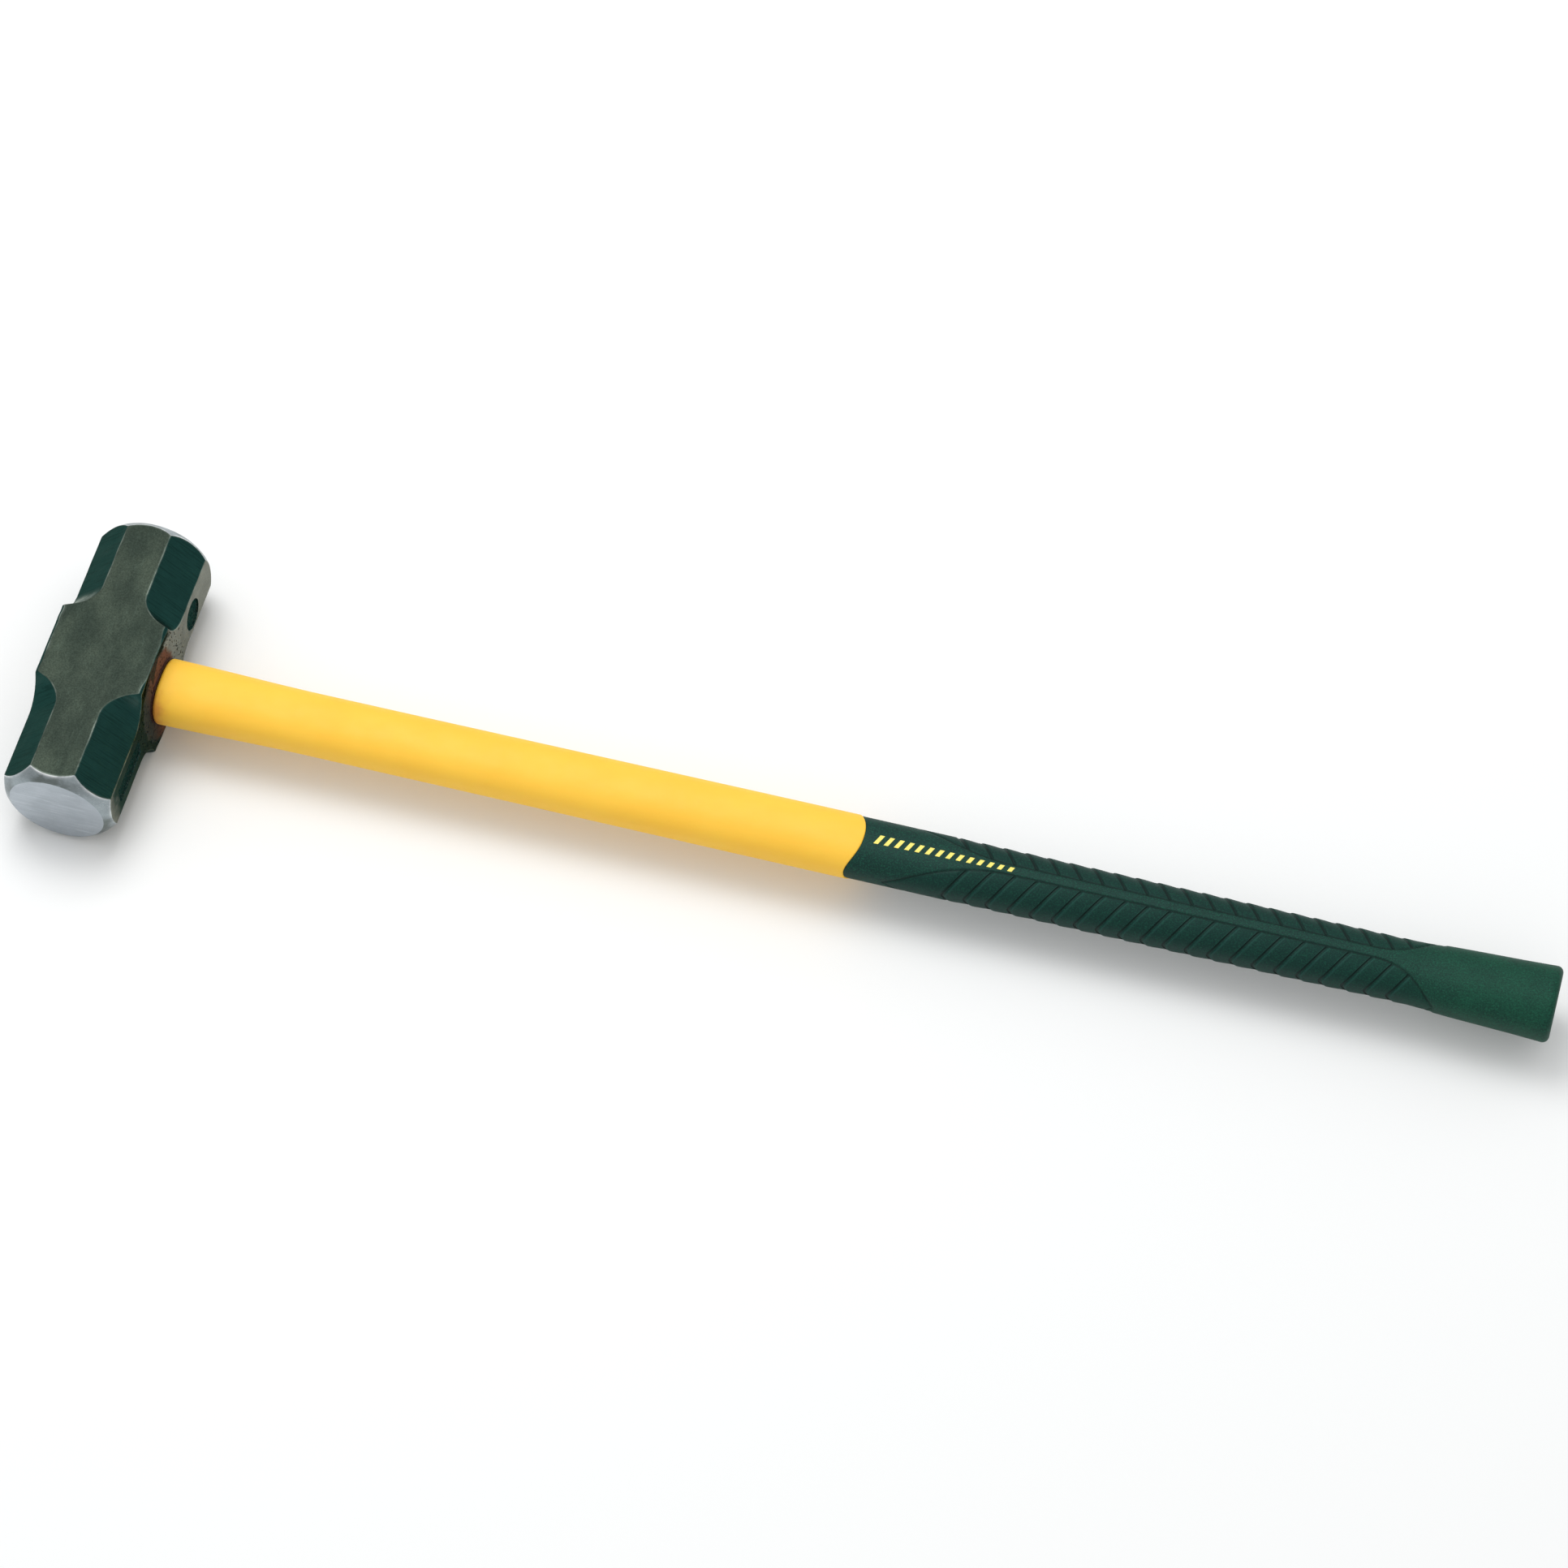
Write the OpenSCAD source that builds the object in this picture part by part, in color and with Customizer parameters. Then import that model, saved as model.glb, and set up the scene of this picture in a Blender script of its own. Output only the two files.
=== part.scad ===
// Double-faced sledgehammer with a bonded handle, lying on one cheek of its head.
// Millimetres. The origin is on the surface it lies on, under the middle of the eye.
// +X runs down the handle to the butt, +Y along the head, +Z out of the upper cheek.

/* [Head] */
// Width of the head across its flats
head_across = 66; // [58:1:75]
// Length of the head between its two striking faces
head_length = 186; // [170:1:200]
// Length of the square shoulders left in the middle of the head
shoulder_length = 47; // [40:0.5:50]
// Diameter of the flat disc of each striking face
face_dia = 57.5; // [50:0.5:58]
// How far each striking face stands out beyond the corners of its octagon
crown_height = 7.4; // [5:0.1:10]
// Radius of the gently rounded bevel between a striking face and the flats
crown_radius = 25; // [20:1:40]
// Radius of the run-out where a scooped corner meets the shoulder
scoop_radius = 21; // [18:0.5:26]
// Width of the flat left by breaking the shoulder's corners
corner_flat = 2.4; // [1:0.1:4]

/* [Recesses in the under face] */
// Diameter of the round recess
dimple_dia = 19.5; // [16:0.5:24]
// Distance of the round recess from the middle of the head
dimple_place = 56; // [40:0.5:64]
// How far the round recess sits off the middle of its flat, towards the lower cheek
dimple_drop = 1.5; // [0:0.1:3]
// Length of the long recess for a weight mark, left blank
panel_length = 36; // [20:1:44]
// Width of the long recess
panel_width = 12; // [8:0.5:20]
// Distance of the long recess from the middle of the head
panel_place = 58; // [50:1:62]
// Depth of both recesses
recess_depth = 1.2; // [0.6:0.1:2]

/* [Eye and bond] */
// Width of the eye along the head
eye_width = 37; // [35:0.5:40]
// Thickness of the eye from cheek to cheek
eye_thickness = 28; // [26:0.5:30]
// How far the resin lies below the top of the head
resin_sink = 1.2; // [0.5:0.1:3]
// Depth of the dam that keeps the resin in the eye
dam_depth = 6; // [4:0.5:10]
// Thickness of the dam's lip between the head and the jacket
dam_lip = 0.9; // [0.5:0.1:2]

/* [Fibreglass core] */
// Width of the rod along the head
core_width = 30; // [26:0.5:32]
// Thickness of the rod from cheek to cheek
core_thickness = 21; // [18:0.5:22]
// Distance from the end of the rod to the end of the butt
core_end_gap = 7; // [5:1:12]

/* [Handle] */
// Overall length from the top of the head to the end of the butt
overall_length = 900; // [860:5:920]
// Width of the jacket where it meets the head
neck_width = 40.6; // [38:0.1:42]
// Width of the jacket at its waist, past the neck
waist_width = 37.8; // [36:0.1:40]
// Distance from the head's middle to the end of the neck's taper
neck_end = 125; // [80:5:150]
// Width of the jacket where it meets the grip
swell_width = 38.7; // [37:0.1:41]
// Thickness of the handle as a share of its width
oval_ratio = 0.78; // [0.7:0.01:0.9]
// Squareness of the oval: 2 is an ellipse, and more is squarer
oval_power = 2.3; // [2:0.1:3]
// Rounding of the jacket's end against the head
jacket_round = 2.5; // [1:0.5:4]
// Wall of the jacket that runs on under the grip
under_wall = 2.2; // [1.5:0.1:3]

/* [Grip] */
// Mean distance from the head's middle to the front edge of the grip
grip_start = 458.4; // [430:0.1:480]
// Height of the wave in the grip's front edge, either side of its mean
grip_wave = 3.9; // [0:0.1:8]
// Width of the grip along its tread
grip_width = 37.5; // [36:0.1:40]
// Distance from the head's middle to the start of the flared butt
flare_start = 788; // [760:1:810]
// Width of the butt at its end
butt_width = 44.8; // [42:0.1:50]
// Thickness of the butt as a share of its width
butt_ratio = 0.84; // [0.78:0.01:0.95]
// Rounding of the edge of the butt
butt_round = 4; // [2:0.5:6]

/* [Grip marks] */
// Number of slanted yellow bars let into the grip
mark_count = 14; // [4:1:20]
// Distance from the head's middle to the first bar
mark_start = 470; // [465:1:480]
// Distance from one bar to the next
mark_pitch = 6; // [5:0.5:8]
// Width of a bar
mark_width = 2.6; // [1.5:0.1:4]
// Height of the tallest bar, across the handle
mark_height = 6; // [3:0.5:7]
// Height of the shortest bar as a share of the tallest
mark_taper = 0.5; // [0.3:0.05:1]
// Lean of the bars from square to the handle
mark_lean = 25; // [0:1:35]

/* [Hidden] */
half_across = head_across / 2;
half_length = head_length / 2;
octagon_corner = half_across * sqrt(1 + pow(sqrt(2) - 1, 2));
diagonal = half_across * sqrt(2);
broken_across = 2 * diagonal - corner_flat;
scoop_depth = diagonal - half_across;
scoop_run = sqrt(2 * scoop_radius * scoop_depth - scoop_depth * scoop_depth);
scoop_flat_y = shoulder_length / 2 + scoop_run;
butt_end = overall_length - half_across;
core_end = butt_end - core_end_gap;
jacket_start = half_across + dam_lip;
grip_half = grip_width / 2;
grip_thick_half = grip_half * oval_ratio;
under_half = grip_half - under_wall;
under_thick_half = grip_thick_half - under_wall;
wave_run = 4 * grip_wave;
wave_end = grip_start + wave_run;
mark_depth = 0.7;
mark_proud = 0.1;
sides = 48;
past = 10;

// A value that rises smoothly from a to b as t goes from 0 to 1
function ease(a, b, t) =
    let (u = min(max(t, 0), 1))
    a + (b - a) * u * u * (3 - 2 * u);

// A power that keeps the sign of its base
function spow(v, p) = sign(v) * pow(abs(v), p);

// One point of the handle's oval, w and h being its half width and half thickness
function oval_point(w, h, angle) = [
    w * spow(cos(angle), 2 / oval_power),
    h * spow(sin(angle), 2 / oval_power)
];

// The front edge of the grip comes nearest the head on the narrow sides of the oval
function wave(angle) = -grip_wave * cos(2 * angle);

// A ring of points at x, moved by the wave where waved is 1
function ring(x, w, h, waved = 0) = [
    for (i = [0 : sides - 1])
        let (angle = 360 * i / sides, p = oval_point(w, h, angle))
        [x + waved * wave(angle), p[0], half_across + p[1]]
];

// A closed skin over a row of rings, capped at both ends
module skin(rings) {
    last = (len(rings) - 1) * sides;
    points = [for (r = rings) for (p = r) p];
    walls = [
        for (r = [0 : len(rings) - 2])
            for (i = [0 : sides - 1])
                let (a = r * sides + i, b = r * sides + (i + 1) % sides)
                each [[a, b, b + sides], [a, b + sides, a + sides]]
    ];
    first_cap = [[for (i = [sides - 1 : -1 : 0]) i]];
    last_cap = [[for (i = [0 : sides - 1]) last + i]];
    polyhedron(points = points, faces = concat(first_cap, walls, last_cap), convexity = 6);
}

// A slot-shaped outline, w along Y and h along Z, run along X between two places
module slot_bar(x0, x1, w, h) {
    translate([x0, 0, half_across])
        rotate([90, 0, 90])
            linear_extrude(x1 - x0)
                union() {
                    square([w - h, h], center = true);
                    for (side = [-1, 1])
                        translate([side * (w - h) / 2, 0])
                            circle(d = h, $fn = 64);
                }
}

// Half of the head's turned outline: it only trims the ends, to the bevel and the flat disc
module crown_outline() {
    run = octagon_corner - face_dia / 2;
    chord = sqrt(run * run + crown_height * crown_height);
    back_off = sqrt(crown_radius * crown_radius - chord * chord / 4);
    centre_r = face_dia / 2 + run / 2 - back_off * crown_height / chord;
    centre_y = half_length - crown_height / 2 - back_off * run / chord;
    intersection() {
        union() {
            translate([centre_r, centre_y])
                circle(r = crown_radius, $fn = 128);
            translate([0, -1])
                square([diagonal + past, centre_y + 1]);
            square([centre_r, half_length]);
        }
        translate([0, -1])
            square([diagonal + past, half_length + 1]);
    }
}

// The turned envelope of both ends, along Y
module crowned_envelope() {
    for (end = [0, 1])
        mirror([0, end, 0])
            rotate([-90, 0, 0])
                rotate_extrude($fn = 128)
                    crown_outline();
}

// The cutter that scoops one corner of one end, with its run-out towards the shoulder
module scoop() {
    wide = 2 * scoop_radius;
    rotate([90, 0, 90])
        translate([0, 0, -head_across / 2])
            linear_extrude(head_across)
                union() {
                    translate([scoop_flat_y, half_across])
                        square([half_length, wide]);
                    translate([scoop_flat_y, half_across + scoop_radius])
                        circle(r = scoop_radius, $fn = 96);
                }
}

module head() {
    color("#474f49")
        translate([0, 0, half_across])
            difference() {
                intersection() {
                    cube([head_across, head_length, head_across], center = true);
                    rotate([0, 45, 0])
                        cube([broken_across, head_length, broken_across], center = true);
                    crowned_envelope();
                }
                for (end = [0, 1], corner = [45 : 90 : 315])
                    mirror([0, end, 0])
                        rotate([0, corner, 0])
                            scoop();
                translate([0, 0, -half_across])
                    slot_bar(-half_across - past, half_across + past, eye_width, eye_thickness);
                translate([half_across - recess_depth, dimple_place, -dimple_drop])
                    rotate([0, 90, 0])
                        cylinder(h = past, d = dimple_dia, $fn = 64);
                translate([half_across - recess_depth, -panel_place - panel_length / 2, -panel_width / 2])
                    cube([past, panel_length, panel_width]);
            }
}

module fibreglass_core() {
    color("#c9b98a")
        slot_bar(-half_across + resin_sink, core_end, core_width, core_thickness);
}

module eye_resin() {
    color("#4a2f1e")
        difference() {
            slot_bar(-half_across + resin_sink, half_across - dam_depth, eye_width, eye_thickness);
            slot_bar(-half_across - past, half_across + past, core_width, core_thickness);
        }
}

module resin_dam() {
    color("#5c3322")
        difference() {
            union() {
                slot_bar(half_across - dam_depth, half_across, eye_width, eye_thickness);
                slot_bar(half_across, jacket_start, neck_width, neck_width * oval_ratio);
            }
            slot_bar(-past, half_across + past, core_width, core_thickness);
        }
}

// Half width of the jacket at x
function jacket_half(x) =
    x < neck_end
        ? ease(neck_width, waist_width, (x - jacket_start) / (neck_end - jacket_start)) / 2
        : ease(waist_width, swell_width, (x - neck_end) / (grip_start - neck_end)) / 2;

// The jacket outside: a rounded end, the neck, the waist, the swell, and the part under the grip
function jacket_rings() =
    let (
        neck_from = jacket_start + jacket_round,
        neck_step = (neck_end - neck_from) / 6,
        swell_step = (grip_start - wave_run - neck_end) / 10
    )
    concat(
        [
            for (a = [0 : 22.5 : 90])
                let (inset = jacket_round * (1 - sin(a)), x = jacket_start + jacket_round * (1 - cos(a)))
                ring(x, neck_width / 2 - inset, neck_width * oval_ratio / 2 - inset)
        ],
        [
            for (i = [1 : 6])
                let (x = neck_from + neck_step * i)
                ring(x, jacket_half(x), jacket_half(x) * oval_ratio)
        ],
        [
            for (i = [1 : 10])
                let (x = neck_end + swell_step * i)
                ring(x, jacket_half(x), jacket_half(x) * oval_ratio)
        ],
        [
            ring(grip_start, swell_width / 2, swell_width / 2 * oval_ratio, 1),
            ring(grip_start, under_half, under_thick_half, 1),
            ring(wave_end, under_half, under_thick_half),
            ring(core_end, under_half, under_thick_half)
        ]
    );

module handle_jacket() {
    color("#f7cd52")
        difference() {
            skin(jacket_rings());
            slot_bar(-past, core_end + past, core_width, core_thickness);
        }
}

// How far x is along the flare of the butt, from 0 to 1
function flare_share(x) = (x - flare_start) / (butt_end - flare_start);

// Half width and half thickness of the flared butt at x
function flare_half(x) = grip_half + (butt_width / 2 - grip_half) * flare_share(x);
function flare_thick_half(x) =
    grip_thick_half + (butt_width * butt_ratio / 2 - grip_thick_half) * flare_share(x);

// The grip from the end wall of its pocket, forward along the pocket, and back along the outside
function grip_rings() =
    let (
        tread_step = (flare_start - wave_end) / 6,
        round_x = butt_end - butt_round
    )
    concat(
        [
            ring(core_end, under_half, under_thick_half),
            ring(wave_end, under_half, under_thick_half),
            ring(grip_start, under_half, under_thick_half, 1),
            ring(grip_start, grip_half, grip_thick_half, 1),
            ring(wave_end, grip_half, grip_thick_half)
        ],
        [
            for (i = [1 : 6])
                let (x = wave_end + tread_step * i)
                ring(x, grip_half, grip_thick_half)
        ],
        [
            for (i = [1 : 4])
                let (x = flare_start + (round_x - flare_start) * i / 4)
                ring(x, flare_half(x), flare_thick_half(x))
        ],
        [
            for (a = [22.5 : 22.5 : 90])
                let (inset = butt_round * (1 - cos(a)), x = round_x + butt_round * sin(a))
                ring(x, flare_half(x) - inset, flare_thick_half(x) - inset)
        ]
    );

// One slanted bar in plan, k being its place in the row from 0 to 1
module mark_bar(k) {
    tall = mark_height * (1 + (mark_taper - 1) * k);
    lean = tall / 2 * tan(mark_lean);
    polygon([
        [-lean, -tall / 2],
        [mark_width - lean, -tall / 2],
        [mark_width + lean, tall / 2],
        [lean, tall / 2]
    ]);
}

// The row of bars along the crest of the upper cheek side
module mark_row(top) {
    crest = half_across + grip_thick_half;
    for (i = [0 : mark_count - 1])
        translate([mark_start + mark_pitch * i, 0, crest - mark_depth])
            linear_extrude(mark_depth + top)
                mark_bar(i / (mark_count - 1));
}

module grip() {
    color("#17392f")
        difference() {
            skin(grip_rings());
            mark_row(past);
        }
}

module grip_marks() {
    color("#f0e16e")
        mark_row(mark_proud);
}

head();
fibreglass_core();
handle_jacket();
grip();
eye_resin();
resin_dam();
grip_marks();
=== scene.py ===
"""Long-handled double-faced sledgehammer, built around its packed CAD frame.

Every piece is in metres in the CAD frame: the origin is on the floor under the middle of the eye,
+X runs down the handle, +Y along the head and +Z out of the upper cheek.
"""

import math

import bpy
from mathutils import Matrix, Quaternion, Vector, noise


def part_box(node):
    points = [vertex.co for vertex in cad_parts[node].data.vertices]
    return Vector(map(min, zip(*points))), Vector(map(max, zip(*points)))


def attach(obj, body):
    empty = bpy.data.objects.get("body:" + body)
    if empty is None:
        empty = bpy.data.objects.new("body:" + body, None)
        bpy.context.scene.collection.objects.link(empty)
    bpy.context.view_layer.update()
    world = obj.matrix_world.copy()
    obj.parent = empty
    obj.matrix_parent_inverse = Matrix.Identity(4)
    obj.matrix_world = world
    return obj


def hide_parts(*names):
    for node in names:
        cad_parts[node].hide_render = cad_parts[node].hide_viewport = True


bl_info = {
    "name": "Sledgehammer Maker",
    "version": (1, 0, 0),
    "blender": (4, 5, 0),
    "location": "3D View > Sidebar > Sledgehammer",
    "description": "Forges, jackets and grips a long-handled sledgehammer around its CAD frame",
    "category": "Object",
}

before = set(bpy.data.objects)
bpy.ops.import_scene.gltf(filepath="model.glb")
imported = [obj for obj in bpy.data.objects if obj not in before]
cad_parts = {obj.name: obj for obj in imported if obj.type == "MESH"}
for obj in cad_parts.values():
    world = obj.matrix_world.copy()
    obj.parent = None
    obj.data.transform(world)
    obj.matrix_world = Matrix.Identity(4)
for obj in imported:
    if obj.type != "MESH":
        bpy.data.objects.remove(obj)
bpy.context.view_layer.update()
HEAD_LOW, HEAD_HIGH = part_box("head")
GRIP_LOW, GRIP_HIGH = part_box("grip")
DAM_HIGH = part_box("resin_dam")[1]
AXIS_HEIGHT = (HEAD_LOW.z + HEAD_HIGH.z) / 2
MM = 0.001
QUARTER_TURN = math.pi / 2
EIGHTH_TURN = math.radians(45)


# ---------------------------------------------------------------- small tools


def paint(red, green, blue):
    """A display colour from 0 to 255 a channel, as the linear colour a shader takes."""
    linear = []
    for channel in (red, green, blue):
        c = channel / 255
        linear.append(c / 12.92 if c <= 0.04045 else ((c + 0.055) / 1.055) ** 2.4)
    return tuple(linear)


def shade(colour, share):
    """The colour darkened to a share of itself, or lightened where the share is over 1."""
    return tuple(c * share for c in colour)


def ease(start, end, value):
    """0 before start, 1 after end, and a smooth rise between them."""
    t = min(max((value - start) / (end - start), 0.0), 1.0)
    return t * t * (3 - 2 * t)


def fading(distance, width):
    """1 at no distance, falling away on both sides over the width."""
    return math.exp(-((distance / width) ** 2))


def soft_least(a, b, blend):
    """The smaller of a and b, with the corner between them rounded over blend."""
    h = max(blend - abs(a - b), 0.0) / blend
    return min(a, b) - h * h * blend / 4


def signed_power(value, power):
    """The value raised to the power, with its sign kept."""
    return math.copysign(abs(value) ** power, value)


def unevenness(point, wavelength, seed=0.0):
    """Smooth noise from -1 to 1 at a point, one lump to each wavelength."""
    return noise.noise(Vector(point) / wavelength + Vector((seed, seed * 1.7, seed * 0.3)))


def build_object(name, points, faces, smooth=True):
    """A mesh object from points and faces, linked to the scene."""
    mesh = bpy.data.meshes.new(name)
    mesh.from_pydata(points, [], faces)
    mesh.polygons.foreach_set("use_smooth", [smooth] * len(mesh.polygons))
    mesh.update()
    obj = bpy.data.objects.new(name, mesh)
    bpy.context.scene.collection.objects.link(obj)
    return obj


def ring_faces(first, second, columns):
    """Quads between two closed rings, each given by the index of its first point."""
    faces = []
    for c in range(columns):
        d = (c + 1) % columns
        faces.append((first + c, first + d, second + d, second + c))
    return faces


def band_faces(rows, columns):
    """Quads between closed rings of points, ring after ring."""
    faces = []
    for r in range(rows - 1):
        faces += ring_faces(r * columns, (r + 1) * columns, columns)
    return faces


def store(mesh, name, values):
    """Keeps one number per point on the mesh, for its material to read."""
    attribute = mesh.attributes.new(name, "FLOAT", "POINT")
    attribute.data.foreach_set("value", values)


# ------------------------------------------------------------------ materials


class Finish:
    """A material being mixed: one principled shader and the nodes that feed it."""

    def __init__(self, name, **fixed):
        self.material = bpy.data.materials.new(name)
        self.material.use_nodes = True
        self.tree = self.material.node_tree
        self.tree.nodes.clear()
        output = self.tree.nodes.new("ShaderNodeOutputMaterial")
        self.shader = self.tree.nodes.new("ShaderNodeBsdfPrincipled")
        self.tree.links.new(self.shader.outputs["BSDF"], output.inputs["Surface"])
        for socket, value in fixed.items():
            self.shader.inputs[socket.replace("_", " ")].default_value = value

    def feed(self, socket, value):
        """Links a node's output into a socket, or sets the socket to a plain value."""
        if isinstance(value, bpy.types.NodeSocket):
            self.tree.links.new(value, socket)
        else:
            socket.default_value = value

    def place(self, stretch=(1, 1, 1)):
        """Where a point is on the object, in millimetres, each axis divided by its stretch."""
        coordinates = self.tree.nodes.new("ShaderNodeTexCoord")
        mapping = self.tree.nodes.new("ShaderNodeMapping")
        mapping.inputs["Scale"].default_value = [1 / (MM * s) for s in stretch]
        self.tree.links.new(coordinates.outputs["Object"], mapping.inputs["Vector"])
        return mapping.outputs["Vector"]

    def grain(self, size, stretch=(1, 1, 1), detail=3.0, roughness=0.5):
        """Noise from 0 to 1 with lumps of the given size in millimetres."""
        node = self.tree.nodes.new("ShaderNodeTexNoise")
        node.inputs["Scale"].default_value = 1 / size
        node.inputs["Detail"].default_value = detail
        node.inputs["Roughness"].default_value = roughness
        self.tree.links.new(self.place(stretch), node.inputs["Vector"])
        return node.outputs["Fac"]

    def cells(self, size, stretch=(1, 1, 1)):
        """Distance to scattered points, one to each cell of the given size in millimetres."""
        node = self.tree.nodes.new("ShaderNodeTexVoronoi")
        node.inputs["Scale"].default_value = 1 / size
        self.tree.links.new(self.place(stretch), node.inputs["Vector"])
        return node.outputs["Distance"]

    def along(self, axis):
        """One coordinate of the point, in millimetres."""
        split = self.tree.nodes.new("ShaderNodeSeparateXYZ")
        self.tree.links.new(self.place(), split.inputs["Vector"])
        return split.outputs[axis]

    def kept(self, name):
        """A number stored on the mesh's points."""
        node = self.tree.nodes.new("ShaderNodeAttribute")
        node.attribute_name = name
        return node.outputs["Fac"]

    def sum(self, operation, a, b=0.0, clamp=False):
        """One step of arithmetic."""
        node = self.tree.nodes.new("ShaderNodeMath")
        node.operation = operation
        node.use_clamp = clamp
        self.feed(node.inputs[0], a)
        self.feed(node.inputs[1], b)
        return node.outputs[0]

    def span(self, value, low, high, to_low=0.0, to_high=1.0):
        """Maps value from low..high to to_low..to_high, smoothly and held at both ends."""
        node = self.tree.nodes.new("ShaderNodeMapRange")
        node.interpolation_type = "SMOOTHSTEP"
        self.feed(node.inputs["Value"], value)
        node.inputs["From Min"].default_value = low
        node.inputs["From Max"].default_value = high
        node.inputs["To Min"].default_value = to_low
        node.inputs["To Max"].default_value = to_high
        return node.outputs["Result"]

    def blend(self, amount, under, over):
        """The over colour laid on the under colour by amount."""
        node = self.tree.nodes.new("ShaderNodeMix")
        node.data_type = "RGBA"
        self.feed(node.inputs["Factor"], amount)
        for index, colour in ((6, under), (7, over)):  # the colour sockets of a mix node
            if not isinstance(colour, bpy.types.NodeSocket):
                colour = (*colour[:3], 1.0)
            self.feed(node.inputs[index], colour)
        return node.outputs[2]

    def lay(self, base, mask, strength, over):
        """The over colour laid on the base where the mask is, as strongly as strength says."""
        return self.blend(self.sum("MULTIPLY", mask, strength), base, over)

    def relief(self, height, depth, normal=None):
        """A bump whose full height is depth, in millimetres."""
        node = self.tree.nodes.new("ShaderNodeBump")
        node.inputs["Strength"].default_value = 1.0
        node.inputs["Distance"].default_value = depth * MM
        self.feed(node.inputs["Height"], height)
        if normal is not None:
            self.feed(node.inputs["Normal"], normal)
        return node.outputs["Normal"]

    def done(self, colour=None, roughness=None, metallic=None, normal=None):
        """Links what was mixed into the shader and hands over the material."""
        for socket, value in (
            ("Base Color", colour),
            ("Roughness", roughness),
            ("Metallic", metallic),
            ("Normal", normal),
        ):
            if value is not None:
                self.feed(self.shader.inputs[socket], value)
        return self.material


def abraded_and_glinting_edge(f, strength):
    """Where the thin scale is scraped off an edge, with painted highlights laid along the same edges,
    broken up along its length.
    """
    broken = f.span(f.grain(14.0, detail=5.0, roughness=0.6), 0.35, 0.7, 0.12, 1.0)
    return f.sum("MULTIPLY", f.sum("MULTIPLY", f.kept("abrasion_and_glint"), broken), strength, clamp=True)


def ground_steel(name, colour, bright):
    """Dark steel ground flat: mottled, with fine streaks along the head and rubbed edges."""
    f = Finish(name, Metallic=1.0)
    mottle = f.span(f.grain(17.0, (1, 2, 1), detail=5.0, roughness=0.55), 0.3, 0.72)
    lines = f.span(f.grain(0.4, (1, 12, 1), roughness=0.7), 0.25, 0.75)
    speck = f.span(f.grain(0.9, detail=4.0, roughness=0.75), 0.36, 0.64)
    scuffs = f.span(f.grain(3.2, (1, 4, 1), detail=6.0, roughness=0.7), 0.56, 0.74)
    warmer = (colour[0] * 1.3, colour[1] * 1.16, colour[2] * 1.08)
    base = f.blend(mottle, shade(colour, 0.84), warmer)
    base = f.lay(base, scuffs, 0.5, shade(colour, 1.9))
    base = f.lay(base, lines, 0.5, shade(colour, 1.6))
    base = f.lay(base, speck, 0.6, shade(colour, 0.45))
    # edges lightened: abraded steel with painted highlights
    base = f.blend(abraded_and_glinting_edge(f, 0.65), base, bright)
    rough = f.span(mottle, 0.0, 1.0, 0.56, 0.46)
    bumps = f.relief(lines, 0.012)
    bumps = f.relief(f.grain(2.2, detail=5.0), 0.03, bumps)
    return f.done(base, rough, normal=bumps)


def oil_black(name, colour, bright):
    """Smooth forged scale, oil-blackened with a blue-green cast."""
    f = Finish(name, Metallic=1.0, Specular_Tint=(0.5, 0.52, 0.5, 1.0))
    cloud = f.span(f.grain(16.0, detail=5.0, roughness=0.6), 0.3, 0.7)
    marks = f.span(f.grain(0.9, (20, 1, 20), roughness=0.65), 0.34, 0.66)
    between_marks = f.sum("SUBTRACT", 0.5, f.sum("MULTIPLY", marks, 0.9), clamp=True)
    dust = f.span(f.grain(0.7, detail=2.0), 0.6, 0.8)
    base = f.blend(cloud, shade(colour, 0.86), shade(colour, 1.16))
    base = f.lay(shade(colour, 1.35), marks, 0.7, base)
    base = f.blend(between_marks, base, shade(colour, 0.4))
    base = f.lay(base, dust, 0.25, shade(colour, 2.2))
    # edges lightened: abraded steel with painted highlights
    base = f.blend(abraded_and_glinting_edge(f, 0.65), base, bright)
    rough = f.span(cloud, 0.0, 1.0, 0.34, 0.45)
    bumps = f.relief(f.grain(1.1, detail=4.0), 0.03)
    bumps = f.relief(f.grain(5.0, detail=2.0), 0.08, bumps)
    bumps = f.relief(marks, 0.02, bumps)
    return f.done(base, rough, normal=bumps)


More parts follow.
